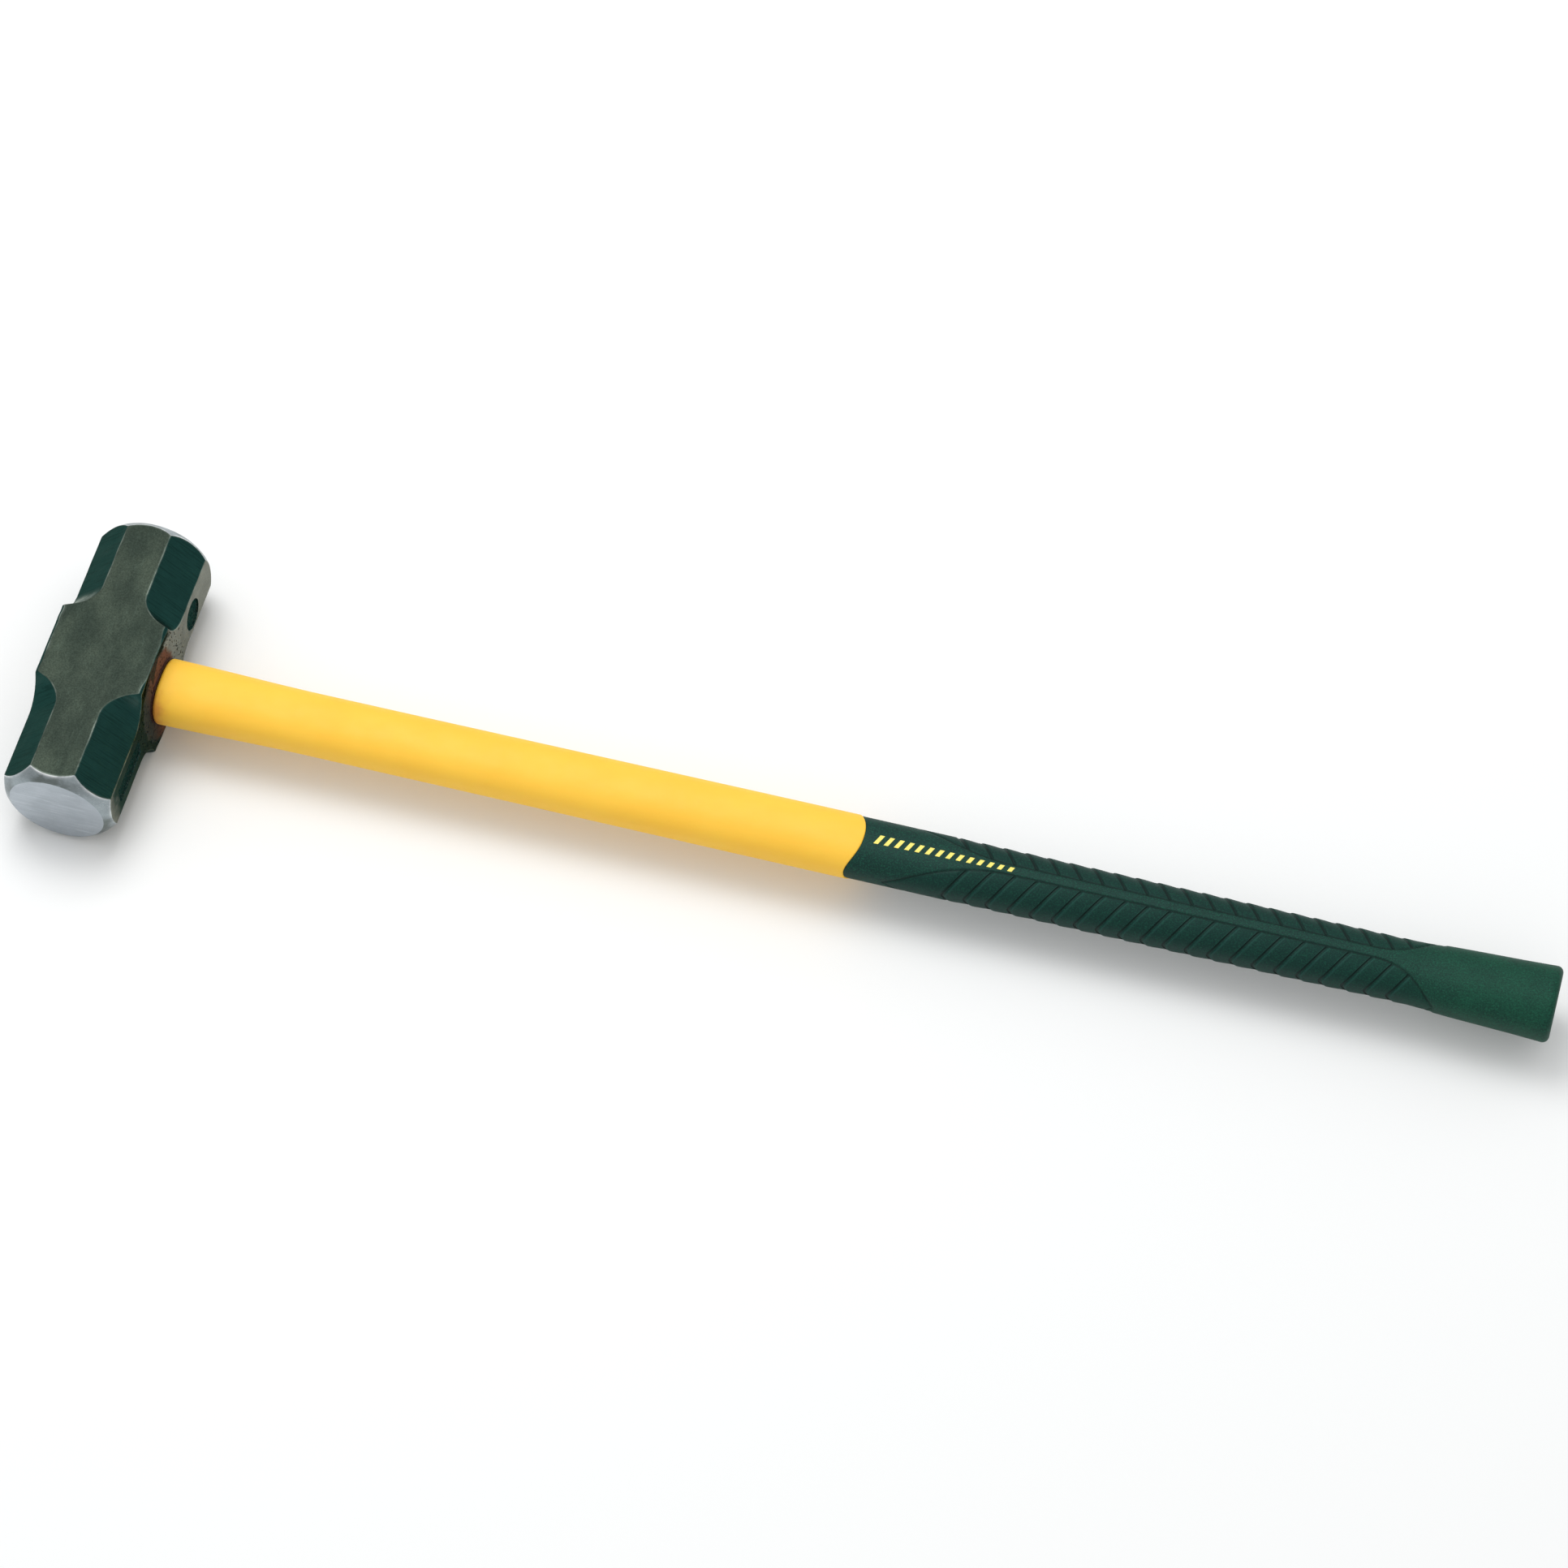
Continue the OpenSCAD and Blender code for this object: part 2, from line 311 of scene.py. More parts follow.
def under_steel(name, colour, bright, scale, film_and_reflection, film_in_shade, eye_half, across):
    """The ground face round the handle: pits, a painted dark reflection on its -Y half, and a brown film
    by the eye that is partly resin and partly a painted reflection of the yellow handle.
    """
    f = Finish(name, Metallic=1.0, Specular_IOR_Level=0.05)
    soot_black = (0.008, 0.012, 0.01)
    pit_black = (0.006, 0.008, 0.007)
    along_head, height = f.along("Y"), f.along("Z")
    from_eye = f.sum("ABSOLUTE", along_head)
    wander = f.span(f.grain(6.0), 0.2, 0.8, -4.0, 4.0)

    mottle = f.span(f.grain(7.0, detail=6.0, roughness=0.65), 0.3, 0.7)
    lines = f.span(f.grain(0.5, (1, 10, 1)), 0.25, 0.75)
    base = f.blend(mottle, shade(colour, 0.6), shade(colour, 1.25))
    base = f.lay(base, lines, 0.35, shade(colour, 1.45))

    # painted dark reflection: the half towards -Y is darkened with the scoop colour, standing in for the
    # shadowed floor it would reflect; the darkening stops again beside the striking face
    unsteady = f.sum("ADD", along_head, wander)
    darkened_from = f.span(unsteady, 2.0, -17.0)
    darkening_stops = f.span(unsteady, -76.0, -88.0)
    painted_dark_reflection = f.sum("MULTIPLY", f.sum("SUBTRACT", darkened_from, darkening_stops, clamp=True), 0.85)
    base = f.blend(painted_dark_reflection, base, scale)

    # the brown film is an oval that reaches past the eye: partly resin, partly a painted reflection of
    # the yellow handle, and painted shade makes it darker towards -Y
    film_y = f.sum("DIVIDE", f.sum("ADD", along_head, 4.0), eye_half + 7.0)
    film_z = f.sum("DIVIDE", f.sum("SUBTRACT", height, across / 2), across / 2)
    squares = f.sum("ADD", f.sum("MULTIPLY", film_y, film_y), f.sum("MULTIPLY", film_z, film_z))
    outward = f.sum("ADD", f.sum("SQRT", squares), f.sum("MULTIPLY", wander, 0.015))
    near_eye = f.span(outward, 1.05, 0.93)
    film = f.blend(f.span(along_head, -24.0, -5.0), film_in_shade, film_and_reflection)
    base = f.lay(base, near_eye, 0.95, film)

    # a ragged dark line runs along the upper edge beside the eye
    ragged = f.sum("ADD", height, f.sum("MULTIPLY", wander, 1.5))
    ragged = f.span(ragged, across - 11.0, across - 5.5)
    ragged = f.sum("MULTIPLY", ragged, f.span(from_eye, 27.0, 20.0))
    base = f.lay(base, ragged, 0.9, soot_black)

    tooth = f.span(f.grain(0.9, detail=4.0, roughness=0.7), 0.36, 0.62)
    base = f.lay(base, tooth, 0.4, shade(colour, 0.4))
    pits = f.span(f.cells(2.2), 0.2, 0.36, 1.0, 0.0)
    patch = f.span(f.grain(7.0, detail=2.0), 0.4, 0.5)
    pitted = f.sum("MULTIPLY", f.sum("MULTIPLY", pits, patch), f.span(from_eye, 46.0, 32.0))
    base = f.lay(base, pitted, 0.9, pit_black)
    # edges lightened: abraded steel with painted highlights
    base = f.blend(abraded_and_glinting_edge(f, 0.7), base, bright)

    bumps = f.relief(f.sum("SUBTRACT", 1.0, pitted), 0.25)
    bumps = f.relief(lines, 0.012, bumps)
    rough = f.sum("ADD", f.span(mottle, 0.0, 1.0, 0.36, 0.48), f.sum("MULTIPLY", near_eye, 0.35))
    sheen = f.blend(mottle, (0.78, 0.78, 0.75), (1.0, 1.0, 1.0))
    # the specular tint is lowered where the painted dark reflection and the ragged line are
    sheen = f.blend(f.sum("MAXIMUM", painted_dark_reflection, ragged), sheen, (0.3, 0.34, 0.32))
    sheen = f.blend(pitted, sheen, (0.05, 0.05, 0.05))
    f.feed(f.shader.inputs["Specular Tint"], sheen)
    return f.done(base, rough, metallic=f.span(near_eye, 0.0, 1.0, 1.0, 0.05), normal=bumps)


def polished_steel(name, colour, tint):
    """Bright steel finished on a belt: fine lines, cloudy patches and light handling marks."""
    f = Finish(name, Metallic=1.0)
    cloud = f.span(f.grain(13.0, detail=4.0, roughness=0.6), 0.32, 0.68)
    lines = f.span(f.grain(0.6, (45, 1, 1), detail=4.0, roughness=0.65), 0.3, 0.7)
    scratches = f.span(f.grain(0.9, (60, 1, 1), detail=2.0), 0.6, 0.72)
    patchy = f.span(f.grain(12.0, detail=2.0), 0.42, 0.6)
    spots = f.span(f.cells(3.4), 0.05, 0.12, 1.0, 0.0)
    base = f.lay(colour, cloud, 0.5, tint)
    base = f.lay(base, lines, 0.5, shade(colour, 0.62))
    base = f.lay(base, f.sum("MULTIPLY", scratches, patchy), 0.4, (0.8, 0.83, 0.85))
    base = f.lay(base, spots, 0.25, shade(colour, 0.4))
    rough = f.span(cloud, 0.0, 1.0, 0.3, 0.42)
    bumps = f.relief(lines, 0.012)
    bumps = f.relief(f.grain(6.0), 0.05, bumps)
    return f, base, rough, bumps


def polished_disc(name, colour):
    """The flat striking face."""
    f, base, rough, bumps = polished_steel(name, colour, shade(colour, 0.85))
    return f.done(base, rough, normal=bumps)


def polished_bevel(name, colour, soot, disc_y):
    """The rounded bevel: sooty in patches beside the disc, and white at its outer edge, partly burnished
    steel and partly a painted highlight.
    """
    f, base, rough, bumps = polished_steel(name, colour, shade(colour, 0.7))
    from_middle = f.sum("ABSOLUTE", f.along("Y"))
    wander = f.span(f.grain(6.0, detail=6.0, roughness=0.7), 0.25, 0.75, -2.4, 2.4)
    beside_disc = f.span(f.sum("ADD", from_middle, wander), disc_y - 5.5, disc_y - 1.0)
    sooty = f.sum("MULTIPLY", beside_disc, f.span(f.grain(26.0), 0.4, 0.62))
    base = f.lay(base, sooty, 0.6, soot)
    # near-white edges: burnished steel with painted highlights
    base = f.blend(abraded_and_glinting_edge(f, 0.95), base, (0.93, 0.95, 0.96))
    return f.done(base, rough, normal=bumps)


def cast_floor(name, colour):
    """The rough floor of a stamped recess and the walls of the eye."""
    f = Finish(name, Metallic=1.0, Specular_Tint=(0.35, 0.4, 0.38, 1.0))
    lumps = f.span(f.grain(1.6, detail=5.0, roughness=0.65), 0.3, 0.7)
    bare = f.span(f.grain(1.1, detail=4.0, roughness=0.7), 0.5, 0.66)
    base = f.blend(lumps, shade(colour, 0.5), shade(colour, 1.3))
    base = f.lay(base, bare, 0.6, (0.14, 0.17, 0.16))
    return f.done(base, f.span(lumps, 0, 1, 0.62, 0.42), normal=f.relief(lumps, 0.3))


def moulded_jacket(name, colour, deep, head_shadow, head_x):
    """Satin yellow plastic, faintly clouded, with a fine moulded skin and the head's shadow painted on
    its -Y corner beside the head.
    """
    f = Finish(
        name,
        Specular_IOR_Level=0.3,
        Subsurface_Weight=0.12,
        Subsurface_Radius=(0.6, 0.35, 0.1),
        Subsurface_Scale=2 * MM,
    )
    cloud = f.span(f.grain(26.0, (1.6, 1, 1), detail=4.0), 0.3, 0.7)
    handled = f.span(f.grain(4.0, (3, 1, 1), detail=5.0, roughness=0.65), 0.55, 0.8)
    wander = f.span(f.grain(6.0), 0.2, 0.8, -2.0, 2.0)
    by_head = f.span(f.sum("ADD", f.along("X"), wander), head_x + 12.0, head_x)
    at_side = f.span(f.sum("ADD", f.along("Y"), wander), -7.0, -18.0)
    base = f.lay(colour, cloud, 0.35, deep)
    base = f.lay(base, handled, 0.1, shade(deep, 0.8))
    # painted shadow of the head on the jacket's -Y corner beside it
    base = f.lay(base, f.sum("MULTIPLY", by_head, at_side), 0.75, head_shadow)
    rough = f.span(f.grain(9.0, detail=4.0), 0.3, 0.7, 0.48, 0.58)
    bumps = f.relief(f.grain(0.5, detail=2.0), 0.006)
    bumps = f.relief(f.grain(18.0, (2, 1, 1), detail=2.0), 0.08, bumps)
    return f.done(base, rough, normal=bumps)


def moulded_rubber(name, colour, greener, flare_from, flare_to):
    """Matte dark rubber with a fine grain and greener towards the butt; painted shade darkens its tread,
    grooves and border lines, and painted highlights lighten the scale lips.
    """
    f = Finish(name, Specular_IOR_Level=0.17, Specular_Tint=(0.7, 1.0, 0.95, 1.0))
    cloud = f.span(f.grain(16.0, detail=4.0), 0.3, 0.7)
    fleck = f.span(f.grain(0.9, detail=4.0, roughness=0.75), 0.46, 0.66)
    dark_fleck = f.span(f.grain(0.8, (1.3, 1, 1), detail=4.0, roughness=0.75), 0.56, 0.42)
    base = f.blend(f.span(f.along("X"), flare_from, flare_to), colour, greener)
    base = f.lay(base, cloud, 0.4, shade(colour, 0.7))
    base = f.lay(base, fleck, 0.5, shade(greener, 2.2))
    base = f.lay(base, dark_fleck, 0.45, shade(colour, 0.35))
    # painted shade: the tread is darkened, with no red left in the darkening
    base = f.lay(base, f.kept("tread"), 0.35, (0.0, colour[1] * 0.55, colour[2] * 0.55))
    # painted highlight on the scale lips
    base = f.lay(base, f.kept("lip_highlight"), 0.5, shade(colour, 2.2))
    # painted shade in the grooves and the border lines
    base = f.lay(base, f.kept("groove_shade"), 0.85, shade(colour, 0.2))
    rough = f.span(fleck, 0.0, 1.0, 0.5, 0.62)
    bumps = f.relief(f.grain(0.45, roughness=0.6), 0.035)
    bumps = f.relief(f.grain(6.0, detail=2.0), 0.05, bumps)
    return f.done(base, rough, normal=bumps)


def cast_resin(name, colour):
    """Dark brown epoxy set in the eye, glossy with small bubbles."""
    f = Finish(name, Roughness=0.22, Coat_Weight=0.4)
    cloud = f.span(f.grain(5.0, detail=4.0), 0.3, 0.7)
    bubbles = f.span(f.cells(1.8), 0.05, 0.14, 1.0, 0.0)
    base = f.blend(cloud, shade(colour, 0.6), shade(colour, 1.4))
    base = f.lay(base, bubbles, 0.5, shade(colour, 2.5))
    bumps = f.relief(f.sum("SUBTRACT", 1.0, bubbles), 0.12)
    bumps = f.relief(f.grain(4.0, detail=2.0), 0.2, bumps)
    return f.done(base, normal=bumps)


def soft_seal(name, colour):
    """The red-brown sealing ring squeezed out between head and jacket."""
    f = Finish(name, Roughness=0.55, Specular_IOR_Level=0.35)
    lumps = f.span(f.grain(2.0, detail=4.0), 0.3, 0.7)
    base = f.blend(lumps, shade(colour, 0.5), shade(colour, 1.3))
    return f.done(base, normal=f.relief(lumps, 0.25))


def sawn_fibreglass(name, colour):
    """Pultruded rod: straw-coloured strands set in resin, seen end-on where it is sawn."""
    f = Finish(name, Roughness=0.5)
    strands = f.span(f.cells(0.7, (30, 1, 1)), 0.1, 0.55)
    saw = f.span(f.grain(0.5, (1, 1, 14), detail=2.0), 0.3, 0.7)
    base = f.blend(strands, shade(colour, 1.1), shade(colour, 0.45))
    base = f.lay(base, saw, 0.3, shade(colour, 0.6))
    bumps = f.relief(strands, 0.05)
    return f.done(base, normal=f.relief(saw, 0.04, bumps))


def inlaid_paint(name, colour):
    """Yellow filler in the bars of the grip, slightly grained and dusty."""
    f = Finish(name, Roughness=0.5, Specular_IOR_Level=0.35)
    thin = f.span(f.grain(0.9, detail=4.0), 0.5, 0.75)
    base = f.lay(colour, thin, 0.35, shade(colour, 0.55))
    return f.done(base, normal=f.relief(f.grain(0.5, detail=2.0), 0.03))


def pale_floor(name, colour):
    """Matte studio board with the faintest tooth."""
    f = Finish(name, Roughness=0.85, Specular_IOR_Level=0.2)
    tooth = f.grain(1.2)
    base = f.lay(colour, tooth, 0.04, shade(colour, 0.9))
    return f.done(base, normal=f.relief(tooth, 0.02))


# ------------------------------------------------------------------- settings


def length(name, default, description):
    """A length the user may change, stored in metres."""
    return bpy.props.FloatProperty(
        name=name, description=description, default=default * MM, min=0.0, unit="LENGTH", precision=4
    )


def number(name, default, description, low, high):
    """A plain number the user may change."""
    return bpy.props.FloatProperty(
        name=name, description=description, default=default, min=low, max=high
    )


def spot(name, default, description):
    """A place in the scene the user may change."""
    return bpy.props.FloatVectorProperty(
        name=name, description=description, default=default, subtype="TRANSLATION", unit="LENGTH"
    )


def colour(name, default, description):
    """A colour the user may change."""
    return bpy.props.FloatVectorProperty(
        name=name, description=description, default=default, min=0.0, max=1.0, size=3, subtype="COLOR"
    )


class HeadSettings(bpy.types.PropertyGroup):
    """Sizes and finishes of the forged head."""

    across: length("Across flats", (HEAD_HIGH.z - HEAD_LOW.z) / MM, "Width of the head across its flats")
    face_to_face: length("Face to face", (HEAD_HIGH.y - HEAD_LOW.y) / MM, "Length between striking faces")
    shoulder: length("Shoulder", 47.0, "Length of the square shoulders in the middle of the head")
    face_dia: length("Face", 57.5, "Diameter of the flat disc of each striking face")
    crown_height: length("Crown height", 7.4, "How far a face stands out beyond its octagon's corners")
    crown_radius: length("Crown radius", 25.0, "Radius of the rounded bevel round each striking face")
    scoop_radius: length("Scoop radius", 21.0, "Radius of the run-out of each scooped corner")
    corner_flat: length("Corner flat", 2.4, "Width of the flat that breaks the shoulder's corners")
    edge_round: length("Edge rounding", 0.55, "How far the rounding of an edge reaches to either side")
    eye_width: length("Eye width", 37.0, "Width of the eye along the head")
    eye_thickness: length("Eye thickness", 28.0, "Thickness of the eye from cheek to cheek")
    eye_chamfer: length("Eye chamfer", 1.2, "Size of the chamfer round each mouth of the eye")
    dimple_dia: length("Dimple", 19.5, "Diameter of the round recess in the under face")
    dimple_place: length("Dimple place", 56.0, "Distance of the round recess from the eye's middle")
    dimple_drop: length("Dimple drop", 1.5, "How far the round recess sits below the middle of the face")
    panel_length: length("Panel length", 36.0, "Length of the blank recess for a weight mark")
    panel_width: length("Panel width", 12.0, "Width of the blank recess for a weight mark")
    panel_place: length("Panel place", 58.0, "Distance of the blank recess from the eye's middle")
    recess_depth: length("Recess depth", 1.2, "Depth of both recesses")
    cheek_colour: colour("Cheeks", paint(50, 60, 53), "Ground flats of the head")
    scoop_colour: colour("Scoops", paint(30, 62, 58), "Oil-black scooped corners")
    under_colour: colour("Under face", paint(112, 116, 104), "Ground face round the handle")
    # the brown film colour is partly resin and partly a painted reflection of the yellow handle; the low
    # film colour is painted shade on it
    film_and_reflection_colour: colour("Resin film", paint(114, 70, 52), "Brown film of resin beside the eye")
    film_shade_colour: colour("Resin film, low", paint(52, 56, 52), "The film where it is dark with oil")
    disc_colour: colour("Discs", paint(182, 190, 197), "Polished striking faces")
    bevel_colour: colour("Bevels", paint(158, 168, 172), "Polished bevels round the striking faces")
    soot_colour: colour("Soot", paint(70, 78, 66), "Dark patches left on the bevels beside the discs")
    # this colour is abraded steel on the edges and also the colour of the painted edge highlights
    edge_colour: colour("Worn edges", paint(158, 170, 160), "Steel where an edge is rubbed bright")


class HandleSettings(bpy.types.PropertyGroup):
    """Sizes and colour of the plastic jacket, and colours of what bonds it to the head."""

    neck_width: length("Neck width", 40.6, "Width of the jacket where it meets the head")
    waist_width: length("Waist width", 37.8, "Width of the jacket at its waist")
    neck_end: length("Neck end", 125.0, "Distance from the eye's middle to the end of the neck's taper")
    swell_width: length("Swell width", 38.7, "Width of the jacket where it meets the grip")
    end_round: length("End rounding", 2.5, "Rounding of the jacket's end against the head")
    oval_ratio: number("Oval ratio", 0.78, "Thickness of the handle as a share of its width", 0.5, 1.0)
    oval_power: number("Oval power", 2.3, "2 is an ellipse, and more is squarer", 2.0, 4.0)
    jacket_colour: colour("Jacket", (0.94, 0.56, 0.055), "Yellow plastic")
    jacket_deep: colour("Jacket, deep", (0.90, 0.48, 0.035), "The plastic where it is deeper in colour")
    # this colour is a painted shadow of the head on the jacket's corner
    head_shadow_colour: colour("Jacket, oily", paint(206, 124, 60), "The plastic's corner stained by the head")
    resin_colour: colour("Resin", paint(74, 47, 30), "Epoxy in the eye")
    dam_colour: colour("Sealing ring", paint(56, 27, 22), "Soft ring between head and jacket")
    rod_colour: colour("Fibreglass", paint(206, 188, 140), "Sawn end of the rod")


class GripSettings(bpy.types.PropertyGroup):
    """Sizes and colours of the rubber grip and its tread."""

    start: length("Front edge", 458.4, "Mean distance from the eye's middle to the front edge")
    wave: length("Front wave", 3.9, "Height of the wave in the front edge, either side of its mean")
    width: length("Width", 37.5, "Width of the grip along its tread")
    flare_start: length("Flare start", 788.0, "Distance from the eye's middle to the flared butt")
    butt_width: length("Butt width", 44.8, "Width of the butt at its end")
    butt_round: length("Butt rounding", 4.0, "Rounding of the edge of the butt")
    butt_ratio: number("Butt ratio", 0.84, "Thickness of the butt as a share of its width", 0.5, 1.0)
    band_half: length("Band", 3.4, "Half width of the smooth band along each broad side")
    line_width: length("Border line", 1.3, "Width of the line cut round each tread panel")
    line_depth: length("Border depth", 0.55, "Depth of the line cut round each tread panel")
    panel_front: length("Panel tip", 477.7, "Distance from the eye's middle to a panel's front tip")
    panel_straight: length("Band start", 549.4, "Where the band reaches its steady width")
    panel_ease: length("Band end", 760.0, "Where the band starts to widen towards the butt")
    panel_back: length("Panel end", 800.0, "Distance from the eye's middle to a panel's rear tip")
    first_groove: length("First groove", 526.0, "Place of the first chevron where it meets the band")
    groove_pitch: length("Groove pitch", 13.0, "Distance from one chevron to the next")
    groove_count: bpy.props.IntProperty(
        name="Grooves", description="Number of chevrons in each panel", default=21, min=1, max=40
    )
    groove_width: length("Groove width", 2.4, "Width of each chevron groove")
    groove_depth: length("Groove depth", 0.95, "Depth of each chevron groove")
    scale_fall: length("Scale fall", 0.6, "How far each scale falls away towards the butt")
    lip: length("Scale lip", 0.18, "How far the front lip of each scale stands up")
    butt_step: length("Butt step", 0.45, "How far the smooth butt stands out from the tread's end")
    lean: length("Chevron lean", 13.5, "How far a chevron runs towards the head on the narrow side")
    stagger: length("Stagger", 2.0, "How far one side's chevrons sit nearer the head")
    rubber_colour: colour("Rubber", paint(20, 51, 46), "Dark rubber")
    butt_colour: colour("Rubber, butt", paint(20, 68, 51), "Rubber towards the butt")
    mark_colour: colour("Marks", paint(240, 225, 110), "Yellow bars let into the grip")


class StageSettings(bpy.types.PropertyGroup):
    """Floor, lights and camera."""

    floor_colour: colour("Floor", (0.86, 0.87, 0.87), "Pale studio board")
    sky_strength: number("Sky", 0.95, "Strength of the even white light from all round", 0.0, 10.0)
    horizon: number("Horizon", 0.5, "Brightness of the sky at the horizon, beside overhead", 0.0, 1.0)
    key_power: bpy.props.FloatProperty(
        name="Key light", description="Power of the large soft light", default=32.0, min=0.0, unit="POWER"
    )
    key_size: length("Key light size", 1500.0, "Length of each side of the large soft light")
    key_place: spot("Key light place", (-0.3, 0.8, 2.4), "Where the large soft light hangs")
    key_aim: spot("Key light aim", (0.42, 0.0, 0.0), "The point the large soft light faces")
    camera_place: spot("Camera", (0.8805, -1.4423, 2.6229), "Where the camera stands")
    camera_aim: spot("Aim", (0.4057, 0.0305, 0.033), "The point the camera looks at")
    camera_roll: bpy.props.FloatProperty(
        name="Roll",
        description="Turn of the camera about its line of sight",
        default=math.radians(-2.815),
        subtype="ANGLE",
    )
    camera_lens: number("Lens", 119.04, "Focal length on a 36 mm sensor, in millimetres", 10.0, 1000.0)


# ----------------------------------------------------------------------- head

FLAT_COLUMNS = 11
SCOOP_COLUMNS = 12
UNDER, CHEEK, SCOOP, BEVEL, DISC, FLOOR = range(6)


def quarter_columns():
    """Places across a quarter of the head's section, crowded towards the edges of its flats."""
    flats = [("flat", 1 - (1 - j / FLAT_COLUMNS) ** 1.8) for j in range(FLAT_COLUMNS)]
    scoops = [("scoop", j / SCOOP_COLUMNS) for j in range(SCOOP_COLUMNS + 1)]
    onward = [(kind, t, False) for kind, t in flats + scoops]
    mirrored = [(kind, t, True) for kind, t in reversed(flats[1:] + scoops[:-1])]
    return onward + mirrored


class HeadForm:
    """The head's outside in millimetres: how far its skin stands from its long axis."""

    def __init__(self, s):
        self.half = s.across / MM / 2
        self.end = s.face_to_face / MM / 2
        self.face_r = s.face_dia / MM / 2
        self.blend = s.edge_round / MM
        self.flat = s.corner_flat / MM
        self.corner = self.half * math.sqrt(2) - self.flat / 2
        self.scoop_r = s.scoop_radius / MM
        depth = self.half * (math.sqrt(2) - 1)
        self.run_from = s.shoulder / MM / 2
        self.run_to = self.run_from + math.sqrt(2 * self.scoop_r * depth - depth * depth)
        octagon_r = self.half / math.cos(math.radians(22.5))  # to the corners of the bar's end
        run = octagon_r - self.face_r
        height = s.crown_height / MM
        chord = math.hypot(run, height)
        self.crown_r = s.crown_radius / MM
        back = math.sqrt(self.crown_r**2 - chord**2 / 4)
        self.crown_at_r = self.face_r + run / 2 - back * height / chord
        self.crown_at_y = self.end - height / 2 - back * run / chord

    def corner_reach(self, y, corner):
        """Distance from the axis to a scooped corner's surface, where it is nearest."""
        away = abs(y)
        inside = self.run_to - away
        if inside <= 0:
            reach = self.half
        else:
            held = min(inside, self.scoop_r * 0.999)
            reach = self.half + self.scoop_r - math.sqrt(self.scoop_r**2 - held**2)
        uneven = 0.16 * unevenness((y, corner * 40.0, 0), 9.0, 3.0) * ease(20, 30, away)
        narrowed = 0.42 * self.flat * self.by_handle(y, corner)
        ragged = 0.3 * unevenness((y, corner * 40.0, 9.0), 5.0, 6.0)
        return soft_least(reach + uneven, self.corner + narrowed + ragged, 2 * self.blend)

    def by_handle(self, y, corner):
        """1 on the two corners beside the handle, fading to 0 along the head; 0 on the others."""
        return 1 - ease(11, self.run_from - 1, abs(y)) if corner in (0, 3) else 0.0

    def edge_angle(self, reach):
        """Angle from a flat's middle to its edge with the corner, seen from the axis."""
        return math.atan(math.sqrt(2) * reach / self.half - 1)

    def crown(self, y):
        """Radius of the turned crown at y."""
        rise = min(max(abs(y) - self.crown_at_y, 0.0), self.crown_r)
        return self.crown_at_r + math.sqrt(max(self.crown_r**2 - rise**2, 0.0))

    def crown_edge(self, section_r):
        """How far along the head the crown starts to cut a section of that radius."""
        rise = section_r - self.crown_at_r
        return self.crown_at_y + math.sqrt(max(self.crown_r**2 - rise**2, 0.0))

    def section(self, angle, reach):
        """Radius of the flats and the corner at an angle from the flat's middle."""
        flat = self.half / math.cos(angle)
        corner = reach / math.cos(EIGHTH_TURN - angle)
        return soft_least(flat, corner, self.blend)


def head_rows(form):
    """Rows along half of the head: kind of row, and its place, as a distance or a share."""
    shoulder, run_out, bar, before, crown = 13, 30, 20, 16, 22  # how many rows each stretch has
    even_to = 76.0  # where the rows start to follow the crown's edge
    run = form.run_to - form.run_from
    rows = [("place", form.run_from * (i / shoulder)) for i in range(shoulder)]
    rows += [("place", form.run_from + run * (i / run_out) ** 1.35) for i in range(run_out)]
    rows += [("place", form.run_to + (even_to - form.run_to) * i / bar) for i in range(bar)]
    rows += [("before", even_to, 1 - (1 - i / before) ** 1.8) for i in range(before)]
    rows += [("crown", (i / crown) ** 1.35) for i in range(crown + 1)]
    return rows


def head_mesh(form):
    """Points, faces, finish of each face and, for each point, its edge abrasion with painted highlight,
    for the head before its holes.
    """
    columns = [(quarter, *column) for quarter in range(4) for column in quarter_columns()]
    count = len(columns)
    half_rows = head_rows(form)
    rings = [(-1, row) for row in reversed(half_rows[1:])] + [(1, row) for row in half_rows]
    points, abrasions_and_glints, finish = [], [], []
    for side, row in rings:
        for column in columns:
            point, abrasion_and_glint = head_point(form, side, row, *column)
            points.append(point)
            abrasions_and_glints.append(abrasion_and_glint)
    faces = [face[::-1] for face in band_faces(len(rings), count)]
    for (_, row), (_, next_row) in zip(rings, rings[1:]):
        in_crown = row[0] == next_row[0] == "crown"
        for column, follower in zip(columns, columns[1:] + columns[:1]):
            finish.append(BEVEL if in_crown else column_finish(column, follower))
    for side, first in ((-1, 0), (1, (len(rings) - 1) * count)):
        add_disc(side, first, count, form.end, points, faces)
    abrasions_and_glints += [0.0] * (len(points) - len(abrasions_and_glints))
    finish += [DISC] * (len(faces) - len(finish))
    return points, faces, finish, abrasions_and_glints


def column_finish(column, follower):
    """The finish of the faces between two neighbouring columns, short of the crown."""
    quarter, kind, _, mirrored = column
    if kind == follower[1] == "scoop" and follower[0] == quarter:
        return SCOOP
    by_handle = ((quarter + 1) % 4 if mirrored else quarter) == 0
    return UNDER if by_handle else CHEEK


